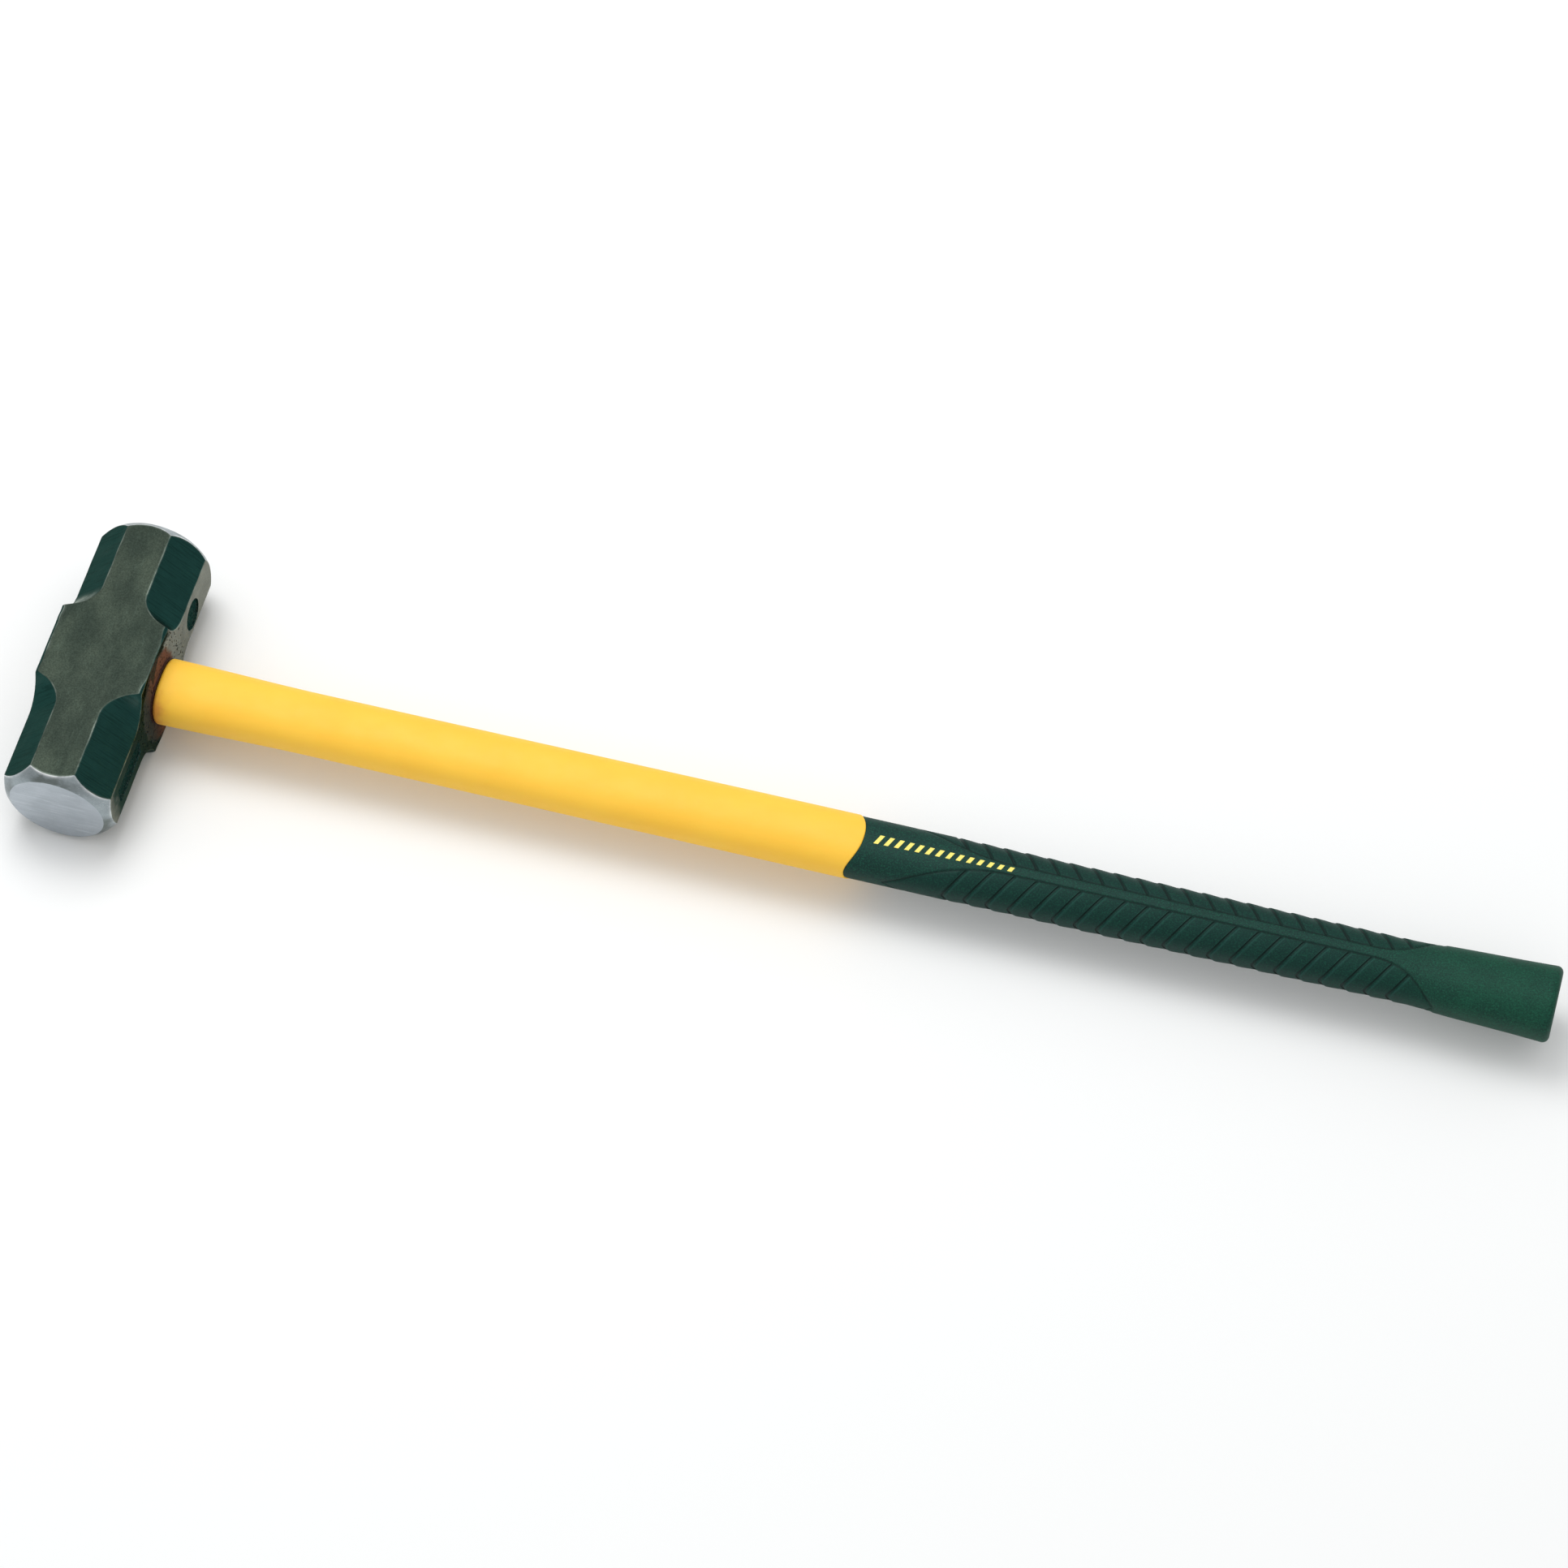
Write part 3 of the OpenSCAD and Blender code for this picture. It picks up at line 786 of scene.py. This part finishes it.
def add_disc(side, first, count, end, points, faces):
    """Closes one end with a striking face: ever smaller rings, domed by a hair, and a middle point."""
    outer, rise = first, 0.12
    for share in (0.985, 0.95, 0.86, 0.7, 0.5, 0.3, 0.12):
        inner = len(points)
        for c in range(count):
            x, y, z = points[first + c]
            dome = rise * (1 - share) + 0.03 * unevenness((x * share, z * share, side), 9.0)
            points.append((x * share, y + side * min(dome, 0.15), z * share))
        for c in range(count):
            d = (c + 1) % count
            quad = (outer + c, inner + c, inner + d, outer + d)
            faces.append(quad if side > 0 else quad[::-1])
        outer = inner
    middle = len(points)
    points.append((0.0, side * (end + rise), 0.0))
    for c in range(count):
        fan = (outer + c, middle, outer + (c + 1) % count)
        faces.append(fan if side > 0 else fan[::-1])


def head_point(form, side, row, quarter, kind, t, mirrored):
    """One point of the head's skin about its axis, and how much edge abrasion and painted highlight the
    steel gets there.
    """
    y = side * (form.end if row[0] == "crown" else row[1])
    reach = form.corner_reach(y, quarter)
    edge = form.edge_angle(reach)
    spare = EIGHTH_TURN - edge
    if kind == "flat":
        angle = edge * t
    else:
        crowd = 1 + 0.8 * min(1.0, spare / math.radians(22.5))
        angle = edge + spare * t**crowd
    section_r = form.section(angle, reach)
    crown_edge = form.crown_edge(section_r)
    if row[0] == "before":
        y = side * (row[1] + (crown_edge - row[1]) * row[2])
    elif row[0] == "crown":
        y = side * (crown_edge + (form.end - crown_edge) * row[1])
    away = abs(y)
    radius = section_r
    if away > form.crown_at_y:
        radius = soft_least(section_r, form.crown(y), form.blend)
    turn = quarter * QUARTER_TURN + (QUARTER_TURN - angle if mirrored else angle)
    x, z = radius * math.cos(turn), radius * math.sin(turn)
    on_scoop = ease(0, 3, (angle - edge) * radius) if kind == "scoop" else 0.0
    in_scoop = on_scoop * ease(form.run_from, form.run_from + 6, away) * (1 - ease(84, 87, away))
    in_crown = ease(crown_edge, crown_edge + 1.5, away) * (1 - ease(form.end - 1.5, form.end, away))
    lumps = 0.18 * in_scoop * unevenness((x, y, z), 11.0, 5.0)
    lumps += 0.025 * unevenness((x, y, z), 22.0, 9.0)
    lumps += 0.16 * in_crown * unevenness((x, y, z), 8.0, 7.0)
    grown = (radius + lumps) / radius
    past_crown = away - crown_edge
    # edge lines: partly abraded steel, partly painted highlights on the rounded edges; the run-outs get a
    # softer mix of abrasion and painted reflection
    corner_rub_and_glint = fading(abs(angle - edge) * radius, 0.33) * (1 - ease(-0.6, 0.3, past_crown))
    corner_rub_and_glint *= 1 - 0.6 * form.by_handle(y, quarter)
    crown_rub_and_glint = fading(past_crown, 0.8 if past_crown > 0 else 0.5)
    shoulder_rub_and_glint = 0.4 * in_scoop * fading(away - form.run_from - 2.0, 2.5)
    run_out_highlight = 0.0
    if (quarter, side) == (1, 1):  # painted highlight: only this run-out is lightened, where it catches the light
        run_out_highlight = 3.0 * on_scoop * fading(away - form.run_from - 11.0, 3.2)
    return (x * grown, y, z * grown), max(corner_rub_and_glint, crown_rub_and_glint, shoulder_rub_and_glint, run_out_highlight)


def slot_outline(width, height, grow, steps=40):
    """A slot with round ends as (along, across) points, grown outward by grow."""
    radius = height / 2 + grow
    straight = (width - height) / 2
    outline = []
    for i in range(steps):
        angle = math.pi * 2 * i / steps
        shift = straight if math.cos(angle) >= 0 else -straight
        outline.append((radius * math.cos(angle) + shift, radius * math.sin(angle)))
    return outline


def box_outline(width, height, grow):
    """A rectangle with rounded corners as (along, across) points, grown outward by grow."""
    corner, steps = 1.6, 6
    outline = []
    for quadrant in range(4):
        for i in range(steps + 1):
            angle = QUARTER_TURN * (quadrant + i / steps)
            along = (width / 2 - corner) * (1 if quadrant in (0, 3) else -1)
            across = (height / 2 - corner) * (1 if quadrant in (0, 1) else -1)
            r = corner + grow
            outline.append((along + r * math.cos(angle), across + r * math.sin(angle)))
    return outline


def cutter(levels, shape, centre, floor_rings=0, roughness=0.0):
    """A closed tool along X. Each level is (x, grow); the first may be a rough floor of many rings."""
    points, faces = [], []
    y0, z0 = centre
    for x, grow in levels:
        points += [(x, y0 + a, z0 + b) for a, b in shape(grow)]
    count = len(shape(0.0))
    faces += band_faces(len(levels), count)
    first_x, first_grow = levels[0]
    outer = 0
    for ring in range(1, floor_rings + 1):
        share = 1 - ring / (floor_rings + 1)
        inner = len(points)
        for a, b in shape(first_grow):
            rough = roughness * unevenness((a * share, b * share, y0), 2.3)
            points.append((first_x + rough, y0 + a * share, z0 + b * share))
        faces += ring_faces(inner, outer, count)
        outer = inner
    faces.append(tuple(outer + c for c in reversed(range(count))))
    faces.append(tuple((len(levels) - 1) * count + c for c in range(count)))
    return points, faces


def head_cutters(s):
    """The eye with its chamfered mouths, the round recess and the long recess, as one tool."""
    half = s.across / MM / 2
    chamfer = s.eye_chamfer / MM
    depth = s.recess_depth / MM

    def eye(grow):
        return slot_outline(s.eye_width / MM, s.eye_thickness / MM, grow)

    def dimple(grow):
        return slot_outline(s.dimple_dia / MM, s.dimple_dia / MM, grow, 56)

    def panel(grow):
        return box_outline(s.panel_length / MM, s.panel_width / MM, grow)

    past = 4.0  # how far each tool stands out of the face it cuts
    through = [
        (-half - past, chamfer + past),
        (-half + chamfer, 0.0),
        (half - chamfer, 0.0),
        (half + past, chamfer + past),
    ]
    recess = [
        (half - depth, -0.45),
        (half - depth + 0.15, -0.15),
        (half - 0.35, 0.0),
        (half + past, 0.35 + past * 0.6),
    ]
    tools = (
        cutter(through, eye, (0.0, 0.0)),
        cutter(recess, dimple, (s.dimple_place / MM, -s.dimple_drop / MM), 7, 0.22),
        cutter(recess, panel, (-s.panel_place / MM, 0.0), 6, 0.22),
    )
    points, faces = [], []
    for tool_points, tool_faces in tools:
        start = len(points)
        points += tool_points
        faces += [tuple(start + i for i in face) for face in tool_faces]
    return points, faces


def raised(points):
    """Points in millimetres about the handle's axis, moved up to it and turned to metres."""
    return [(x * MM, y * MM, z * MM + AXIS_HEIGHT) for x, y, z in points]


def cut_away(obj, tool):
    """Cuts the tool's solid out of obj's mesh for good."""
    boolean = obj.modifiers.new("holes", "BOOLEAN")
    boolean.operation = "DIFFERENCE"
    boolean.solver = "EXACT"
    boolean.object = tool
    bpy.context.view_layer.update()
    evaluated = obj.evaluated_get(bpy.context.evaluated_depsgraph_get())
    cut = bpy.data.meshes.new_from_object(evaluated)
    if len(cut.polygons) < len(obj.data.polygons) / 2:
        raise RuntimeError("the holes could not be cut in the head")
    obj.modifiers.clear()
    obj.data = cut
    bpy.data.objects.remove(tool)


class HAMMER_OT_forge_head(bpy.types.Operator):
    """Forge the octagonal head with its eye, recesses, ground flats and polished faces"""

    bl_idname = "hammer.forge_head"
    bl_label = "Forge Head"

    def execute(self, context):
        s = context.scene.hammer_head
        form = HeadForm(s)
        points, faces, finish, abrasions_and_glints = head_mesh(form)
        head = build_object("head_forging", raised(points), faces)
        head.data.polygons.foreach_set("material_index", finish)
        # keeps edge abrasion and painted highlights for the head's materials
        store(head.data, "abrasion_and_glint", abrasions_and_glints)
        tool_points, tool_faces = head_cutters(s)
        tool = build_object("head_cutters", raised(tool_points), tool_faces)
        tool.data.polygons.foreach_set("material_index", [FLOOR] * len(tool_faces))
        finishes = [
            under_steel(
                "ground_under_face",
                s.under_colour,
                s.edge_colour,
                s.scoop_colour,
                s.film_and_reflection_colour,
                s.film_shade_colour,
                s.eye_width / MM / 2,
                s.across / MM,
            ),
            ground_steel("ground_cheek", s.cheek_colour, s.edge_colour),
            oil_black("oil_black_scoop", s.scoop_colour, s.edge_colour),
            polished_bevel("polished_bevel", s.bevel_colour, s.soot_colour, form.end),
            polished_disc("polished_disc", s.disc_colour),
            cast_floor("recess_floor", s.scoop_colour),
        ]
        for obj in (head, tool):
            for material in finishes:
                obj.data.materials.append(material)
        cut_away(head, tool)
        head.data.set_sharp_from_angle(angle=math.radians(50))
        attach(head, "root")
        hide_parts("head")
        return {"FINISHED"}


# ------------------------------------------------------------ jacket and bond


def oval_point(half_width, half_thickness, angle, power):
    """A point of the handle's oval in millimetres, angle 0 lying along the head."""
    return (
        half_width * signed_power(math.cos(angle), 2 / power),
        half_thickness * signed_power(math.sin(angle), 2 / power),
    )


def jacket_half(h, x):
    """Half width of the jacket at x, in millimetres."""
    start, neck_end, grip_start = DAM_HIGH.x / MM, h.neck_end / MM, GRIP_LOW.x / MM
    neck, waist, swell = (v / MM / 2 for v in (h.neck_width, h.waist_width, h.swell_width))
    if x < neck_end:
        return neck + (waist - neck) * ease(start, neck_end, x)
    return waist + (swell - waist) * ease(neck_end, grip_start, x)


class HAMMER_OT_mould_jacket(bpy.types.Operator):
    """Mould the yellow jacket over the rod, from the head to just inside the grip"""

    bl_idname = "hammer.mould_jacket"
    bl_label = "Mould Jacket"

    def execute(self, context):
        h, g = context.scene.hammer_handle, context.scene.hammer_grip
        around, steps, end_steps = 112, 150, 8
        start = DAM_HIGH.x / MM
        end = g.start / MM
        wave = g.wave / MM
        rounding = h.end_round / MM
        rings = [(start, -rounding - 1.2, 0.0)]
        for i in range(end_steps + 1):
            a = QUARTER_TURN * i / end_steps
            rings.append((start + rounding * (1 - math.cos(a)), -rounding * (1 - math.sin(a)), 0.0))
        long_from = start + rounding
        long = end - 1.0 - long_from
        rings += [(long_from + long * (i / steps), 0.0, None) for i in range(1, steps + 1)]
        rings += [
            (end - 0.6, -0.03, 1.0),
            (end - 0.25, -0.18, 1.0),
            (end, -0.55, 1.0),
            (end + 0.1, -2.0, 1.0),
            (end + 14.0, -2.2, 1.0),
        ]
        points = []
        for x, inset, waved in rings:
            share = ease(end - 4.5 * wave, end - 1.0, x) if waved is None else waved
            half = jacket_half(h, min(x, end)) + inset
            thick = jacket_half(h, min(x, end)) * h.oval_ratio + inset
            for c in range(around):
                angle = 2 * math.pi * c / around
                y, z = oval_point(half, thick, angle, h.oval_power)
                px = x - share * wave * math.cos(2 * angle)
                grown = 1 + 0.0016 * unevenness((px, y * 2, z * 2), 45.0)
                points.append((px, y * grown, z * grown))
        faces = band_faces(len(rings), around)
        faces.append(tuple(reversed(range(around))))
        last = (len(rings) - 1) * around
        faces.append(tuple(last + c for c in range(around)))
        jacket = build_object("jacket_skin", raised(points), faces)
        jacket.data.set_sharp_from_angle(angle=math.radians(50))
        jacket.data.materials.append(
            moulded_jacket("satin_yellow_jacket", h.jacket_colour, h.jacket_deep, h.head_shadow_colour, start)
        )
        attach(jacket, "root")
        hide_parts("handle_jacket")
        return {"FINISHED"}


class HAMMER_OT_bond_eye(bpy.types.Operator):
    """Finish the rod, the resin and the sealing ring that hold the handle in the eye"""

    bl_idname = "hammer.bond_eye"
    bl_label = "Bond Eye"

    def execute(self, context):
        h = context.scene.hammer_handle
        finishes = {
            "fibreglass_core": sawn_fibreglass("sawn_fibreglass", h.rod_colour),
            "eye_resin": cast_resin("cast_resin", h.resin_colour),
            "resin_dam": soft_seal("soft_seal", h.dam_colour),
        }
        for node, material in finishes.items():
            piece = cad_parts[node]
            piece.data.materials.clear()
            piece.data.materials.append(material)
        return {"FINISHED"}


# ----------------------------------------------------------------------- grip


class GripForm:
    """The rubber grip in millimetres: where its grid lines run and how deep its tread is."""

    def __init__(self, g, h):
        self.g = g
        self.start = g.start / MM
        self.end = GRIP_HIGH.x / MM
        self.wave = g.wave / MM
        self.half = g.width / MM / 2
        self.thick = self.half * h.oval_ratio
        self.power = h.oval_power
        self.flare = g.flare_start / MM
        self.butt_half = g.butt_width / MM / 2
        self.butt_thick = self.butt_half * g.butt_ratio
        self.round = g.butt_round / MM
        self.band = g.band_half / MM
        self.pitch = g.groove_pitch / MM
        self.first = g.first_groove / MM
        self.last = self.first + self.pitch * (g.groove_count - 1)
        self.lean = g.lean / MM
        self.angles, self.to_crest, self.quarter = self.girth_lines()

    def girth_lines(self):
        """Angles round the oval at even girth, and how far each is from the crest of its broad side."""
        per_quarter, fine = 36, 720
        angles = [QUARTER_TURN * i / fine for i in range(fine + 1)]
        outline = [oval_point(self.half, self.thick, angle, self.power) for angle in angles]
        run = [0.0]
        for a, b in zip(outline, outline[1:]):
            run.append(run[-1] + math.dist(a, b))
        total = run[-1]
        half_line = self.g.line_width / MM / 2
        across_line = (-1.6, -0.9, -0.35, 0.35, 0.9, 1.6)
        stops = [total - self.band + offset * half_line for offset in across_line]
        targets = [total * i / per_quarter for i in range(per_quarter)]
        targets = [t for t in targets if min(abs(t - s) for s in stops) > 0.35] + stops
        quarter = []
        for target in sorted(targets):
            i = min(range(fine + 1), key=lambda k: abs(run[k] - target))
            quarter.append((angles[i], total - run[i]))
        quarter[0] = (0.0, total)
        mirrored = [(math.pi - a, d) for a, d in reversed(quarter[1:])]
        half_turn = quarter + [(QUARTER_TURN, 0.0)] + mirrored
        full = half_turn + [(a + math.pi, d) for a, d in half_turn]
        return [a for a, _ in full], [d for _, d in full], total

    def outside(self, x):
        """Half width and half thickness at x, before the butt's edge is rounded."""
        if x < self.flare:
            return self.half, self.thick
        share = (x - self.flare) / (self.end - self.flare)
        half = self.half + (self.butt_half - self.half) * share
        return half, self.thick + (self.butt_thick - self.thick) * share

    def border(self, x):
        """Distance from the broad side's crest to the edge of the tread panel, or None outside it."""
        tip, straight = self.g.panel_front / MM, self.g.panel_straight / MM
        eased, back = self.g.panel_ease / MM, self.g.panel_back / MM
        if x < tip or x > back:
            return None
        spread = self.quarter - self.band
        if x < straight:
            return self.band + spread * ((straight - x) / (straight - tip)) ** 1.9
        if x > eased:
            return self.band + spread * ((x - eased) / (back - eased)) ** 2.5
        return self.band

    def lead(self, column):
        """How far the chevron at this column runs ahead of where it meets the band."""
        from_edge = self.quarter - self.to_crest[column]
        soft = 3.0
        widest = self.quarter - self.band
        bow = (math.hypot(min(from_edge, widest), soft) - soft) / (math.hypot(widest, soft) - soft)
        side = ease(-0.2, 0.2, math.cos(self.angles[column]))
        return self.lean * (1 - bow) + self.g.stagger / MM * side

    def place(self, s, column):
        """Where the grid line s crosses this column, along the handle."""
        sheared = ease(self.first - 58, self.first - 6, s) * (1 - ease(self.last + 10, self.end - 10, s))
        waved = 1 - ease(self.start, self.start + 16, s)
        return s - sheared * self.lead(column) - waved * self.wave * math.cos(2 * self.angles[column])

    def sink(self, s, x, column):
        """How far the tread lies below the plain oval, and how much painted shade, tread and painted lip
        highlight a point gets.
        """
        border = self.border(x)
        if border is None:
            return 0.0, 0.0, 0.0, 0.0
        line_half = self.g.line_width / MM / 2
        off = self.to_crest[column] - border
        slope = self.border_slope(x)
        off /= math.sqrt(1 + slope * slope)
        line = math.exp(-((off / line_half) ** 2) * 1.4)
        inside = ease(-0.1, 0.9, off)
        cut = self.g.line_depth / MM * line
        groove = dark = fall = lip = far_side = 0.0
        if self.first - 1.5 < s < self.last + self.pitch:
            t = (s - self.first) % self.pitch
            width = self.g.groove_width / MM
            if s < self.first - 0.01 and t > self.pitch - 1.5:
                t -= self.pitch
            groove = ease(-0.25, 0.25, t) * (1 - ease(width - 0.5, width, t))
            far_side = ease(-0.1, 0.1, math.cos(self.angles[column]))
            # painted shade in each groove, reaching further on the +Y side
            dark = ease(-0.35, 0.1, t) * (1 - ease(0.7 + 0.9 * far_side, 1.5 + 0.9 * far_side, t))
            run = max(t - width, 0.0) / (self.pitch - width)
            fall = self.g.scale_fall / MM * (run**1.5 if t > width else 1.0 if t < -0.2 else 0.0)
            fall *= 1 - ease(self.last + 4, self.last + self.pitch, s)
            lip = self.g.lip / MM * fading(t - width - 0.25, 0.4)
        deep = self.g.groove_depth / MM * groove - lip
        # painted highlight on the lip of each scale, on the -Y side only
        lip_highlight = inside * lip * MM / self.g.lip * (1 - far_side)
        return max(cut, inside * (deep + fall)), max(line, inside * dark), inside, lip_highlight

    def beyond_tread(self, x, column):
        """1 on the narrow sides just behind the tread, fading to 0 on the crests and along the butt."""
        back = self.g.panel_back / MM
        side = ease(0.2, 0.75, self.to_crest[column] / self.quarter)
        return side * ease(back - 0.8, back + 0.4, x) * (1 - ease(back + 2, self.end - 12, x))

    def border_slope(self, x):
        """How fast the border runs away from the crest at x."""
        ahead, behind = self.border(x + 0.5), self.border(x - 0.5)
        return 0.0 if ahead is None or behind is None else ahead - behind


def grip_stations(form):
    """Grid lines along the grip, in step with the grooves where there are grooves."""
    lines = [form.start + 1.0 + i for i in range(int(form.first - form.pitch - form.start))]
    lines = [s for s in lines if s < form.first - form.pitch * 2]
    width = form.g.groove_width / MM
    across_groove = [-0.3, 0.0, 0.3, 0.8, width - 0.8, width - 0.35, width + 0.1, width + 0.5]
    count = 10
    long = form.pitch - 0.8 - width - 0.5
    over_scale = [width + 0.5 + long * i / count for i in range(1, count + 1)]
    for k in range(-2, form.g.groove_count):
        lines += [form.first + form.pitch * k + offset for offset in across_groove + over_scale]
    after = lines[-1]
    stop = form.end - form.round
    steps = int((stop - after) / 0.95)
    lines += [after + (stop - after) * i / steps for i in range(1, steps + 1)]
    return lines


class HAMMER_OT_mould_grip(bpy.types.Operator):
    """Mould the rubber grip with its smooth bands, chevron tread and flared butt"""

    bl_idname = "hammer.mould_grip"
    bl_label = "Mould Grip"

    def execute(self, context):
        g, h = context.scene.hammer_grip, context.scene.hammer_handle
        form = GripForm(g, h)
        points, groove_shade, tread, lip_highlight = [], [], [], []
        columns = len(form.angles)

        def ring(s, inset, treaded=True):
            """One ring of points on the grid line s, drawn in by inset."""
            for c, angle in enumerate(form.angles):
                x = form.place(s, c)
                half, thick = form.outside(x)
                sink, cut, inside, lip = form.sink(s, x, c) if treaded else (0.0, 0.0, 0.0, 0.0)
                proud = g.butt_step / MM * form.beyond_tread(x, c)
                half, thick = half - inset - sink + proud, thick - inset - sink + proud
                y, z = oval_point(half, thick, angle, form.power)
                grown = 1 + 0.0012 * unevenness((x, y, z), 17.0, 2.0)
                points.append((x, y * grown, z * grown))
                groove_shade.append(min(cut, 1.0))
                tread.append(inside)
                lip_highlight.append(lip)

        for ahead, inset in ((12.0, 2.4), (-0.02, 2.3), (0.0, 0.5), (0.15, 0.15), (0.5, 0.0)):
            ring(form.start + ahead, inset, False)
        for s in grip_stations(form):
            ring(s, 0.0)
        edge_steps = 9
        for i in range(1, edge_steps + 1):
            a = QUARTER_TURN * i / edge_steps
            ring(form.end - form.round + form.round * math.sin(a), form.round * (1 - math.cos(a)), False)
        faces = band_faces(len(points) // columns, columns)
        faces.append(tuple(reversed(range(columns))))
        outer = start = len(points) - columns
        for share in (0.94, 0.85, 0.7, 0.5, 0.3, 0.12):
            inner = len(points)
            for c in range(columns):
                x, y, z = points[start + c]
                points.append((x - 0.5 * ease(1.0, 0.6, share), y * share, z * share))
            faces += ring_faces(outer, inner, columns)
            outer = inner
        faces.append(tuple(outer + c for c in range(columns)))
        grip = build_object("grip_sleeve", raised(points), faces)
        # stores the painted groove shade, the tread and the painted lip highlight for the rubber's
        # material
        for name, kept in (("groove_shade", groove_shade), ("tread", tread), ("lip_highlight", lip_highlight)):
            store(grip.data, name, kept + [0.0] * (len(points) - len(kept)))
        grip.data.set_sharp_from_angle(angle=math.radians(60))
        grip.data.materials.append(
            moulded_rubber(
                "matte_green_rubber", g.rubber_colour, g.butt_colour, form.flare - 60, form.end - 30
            )
        )
        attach(grip, "root")
        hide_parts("grip")
        return {"FINISHED"}


class HAMMER_OT_fill_marks(bpy.types.Operator):
    """Fill the slanted bars of the grip with yellow paint"""

    bl_idname = "hammer.fill_marks"
    bl_label = "Fill Marks"

    def execute(self, context):
        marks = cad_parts["grip_marks"]
        marks.data.materials.clear()
        marks.data.materials.append(inlaid_paint("yellow_inlay", context.scene.hammer_grip.mark_colour))
        return {"FINISHED"}


# ---------------------------------------------------------------------- stage


class HAMMER_OT_set_stage(bpy.types.Operator):
    """Lay the pale floor, hang the soft light and stand the camera"""

    bl_idname = "hammer.set_stage"
    bl_label = "Set Stage"

    def execute(self, context):
        s = context.scene.hammer_stage
        scene = context.scene
        self.lay_floor(s)
        world = bpy.data.worlds.new("even_light")
        world.use_nodes = True
        background = world.node_tree.nodes["Background"]
        background.inputs["Strength"].default_value = s.sky_strength
        self.shade_sky(world.node_tree, background, s.horizon)
        scene.world = world
        self.hang_light("key_light", s.key_power, s.key_size, s.key_place, s.key_aim)
        self.stand_camera(scene, s)
        scene.view_settings.view_transform = "Standard"
        return {"FINISHED"}

    def shade_sky(self, tree, background, horizon):
        """White overhead, falling to a softer grey at the horizon."""
        direction = tree.nodes.new("ShaderNodeTexCoord")
        split = tree.nodes.new("ShaderNodeSeparateXYZ")
        height = tree.nodes.new("ShaderNodeMapRange")
        height.inputs["From Max"].default_value = 0.9
        height.inputs["To Min"].default_value = horizon
        tree.links.new(direction.outputs["Generated"], split.inputs["Vector"])
        tree.links.new(split.outputs["Z"], height.inputs["Value"])
        tree.links.new(height.outputs["Result"], background.inputs["Color"])

    def lay_floor(self, s):
        """A wide round board whose rim is out of sight."""
        rings, around, reach = 10, 64, 9.0
        points = [(0.4, 0.0, 0.0)]
        for r in range(1, rings + 1):
            radius = reach * (r / rings) ** 2
            for c in range(around):
                angle = 2 * math.pi * c / around
                points.append((0.4 + radius * math.cos(angle), radius * math.sin(angle), 0.0))
        faces = [(0, 1 + c, 1 + (c + 1) % around) for c in range(around)]
        faces += [tuple(1 + i for i in reversed(face)) for face in band_faces(rings, around)]
        floor = build_object("floor", points, faces, smooth=False)
        floor.data.materials.append(pale_floor("studio_board", s.floor_colour))

    def hang_light(self, name, power, size, place, aim):
        """A square soft light that faces its aim."""
        light = bpy.data.lights.new(name, "AREA")
        light.energy = power
        light.size = size
        lamp = bpy.data.objects.new(name, light)
        bpy.context.scene.collection.objects.link(lamp)
        lamp.location = place
        lamp.rotation_mode = "QUATERNION"
        lamp.rotation_quaternion = (Vector(aim) - Vector(place)).to_track_quat("-Z", "Y")

    def stand_camera(self, scene, s):
        """The camera at its place, facing its aim, turned by its roll."""
        lens = bpy.data.cameras.new("camera")
        lens.lens = s.camera_lens
        lens.sensor_width = 36.0
        lens.clip_end = 100.0
        camera = bpy.data.objects.new("camera", lens)
        scene.collection.objects.link(camera)
        camera.location = s.camera_place
        camera.rotation_mode = "QUATERNION"
        facing = (Vector(s.camera_aim) - Vector(s.camera_place)).to_track_quat("-Z", "Y")
        camera.rotation_quaternion = facing @ Quaternion((0, 0, 1), s.camera_roll)
        scene.camera = camera


# ---------------------------------------------------------------------- panel


class HAMMER_PT_maker(bpy.types.Panel):
    """Lists the steps that make the hammer, with their settings"""

    bl_label = "Sledgehammer"
    bl_idname = "HAMMER_PT_maker"
    bl_space_type = "VIEW_3D"
    bl_region_type = "UI"
    bl_category = "Sledgehammer"

    def draw(self, context):
        for step in STEPS:
            self.layout.operator(step.bl_idname)
        for attribute in SETTINGS:
            group = getattr(context.scene, attribute)
            box = self.layout.box()
            box.label(text=type(group).__doc__)
            for name in type(group).__annotations__:
                box.prop(group, name)


STEPS = (
    HAMMER_OT_set_stage,
    HAMMER_OT_forge_head,
    HAMMER_OT_bond_eye,
    HAMMER_OT_mould_jacket,
    HAMMER_OT_mould_grip,
    HAMMER_OT_fill_marks,
)
SETTINGS = {
    "hammer_head": HeadSettings,
    "hammer_handle": HandleSettings,
    "hammer_grip": GripSettings,
    "hammer_stage": StageSettings,
}


def register():
    for attribute, group in SETTINGS.items():
        bpy.utils.register_class(group)
        setattr(bpy.types.Scene, attribute, bpy.props.PointerProperty(type=group))
    for cls in (*STEPS, HAMMER_PT_maker):
        bpy.utils.register_class(cls)


def unregister():
    for cls in reversed((*STEPS, HAMMER_PT_maker)):
        bpy.utils.unregister_class(cls)
    for attribute, group in SETTINGS.items():
        delattr(bpy.types.Scene, attribute)
        bpy.utils.unregister_class(group)


def main():
    """Registers the maker and makes every piece in order."""
    register()
    for step in STEPS:
        area, name = step.bl_idname.split(".")
        getattr(getattr(bpy.ops, area), name)()


if __name__ == "__main__":
    main()
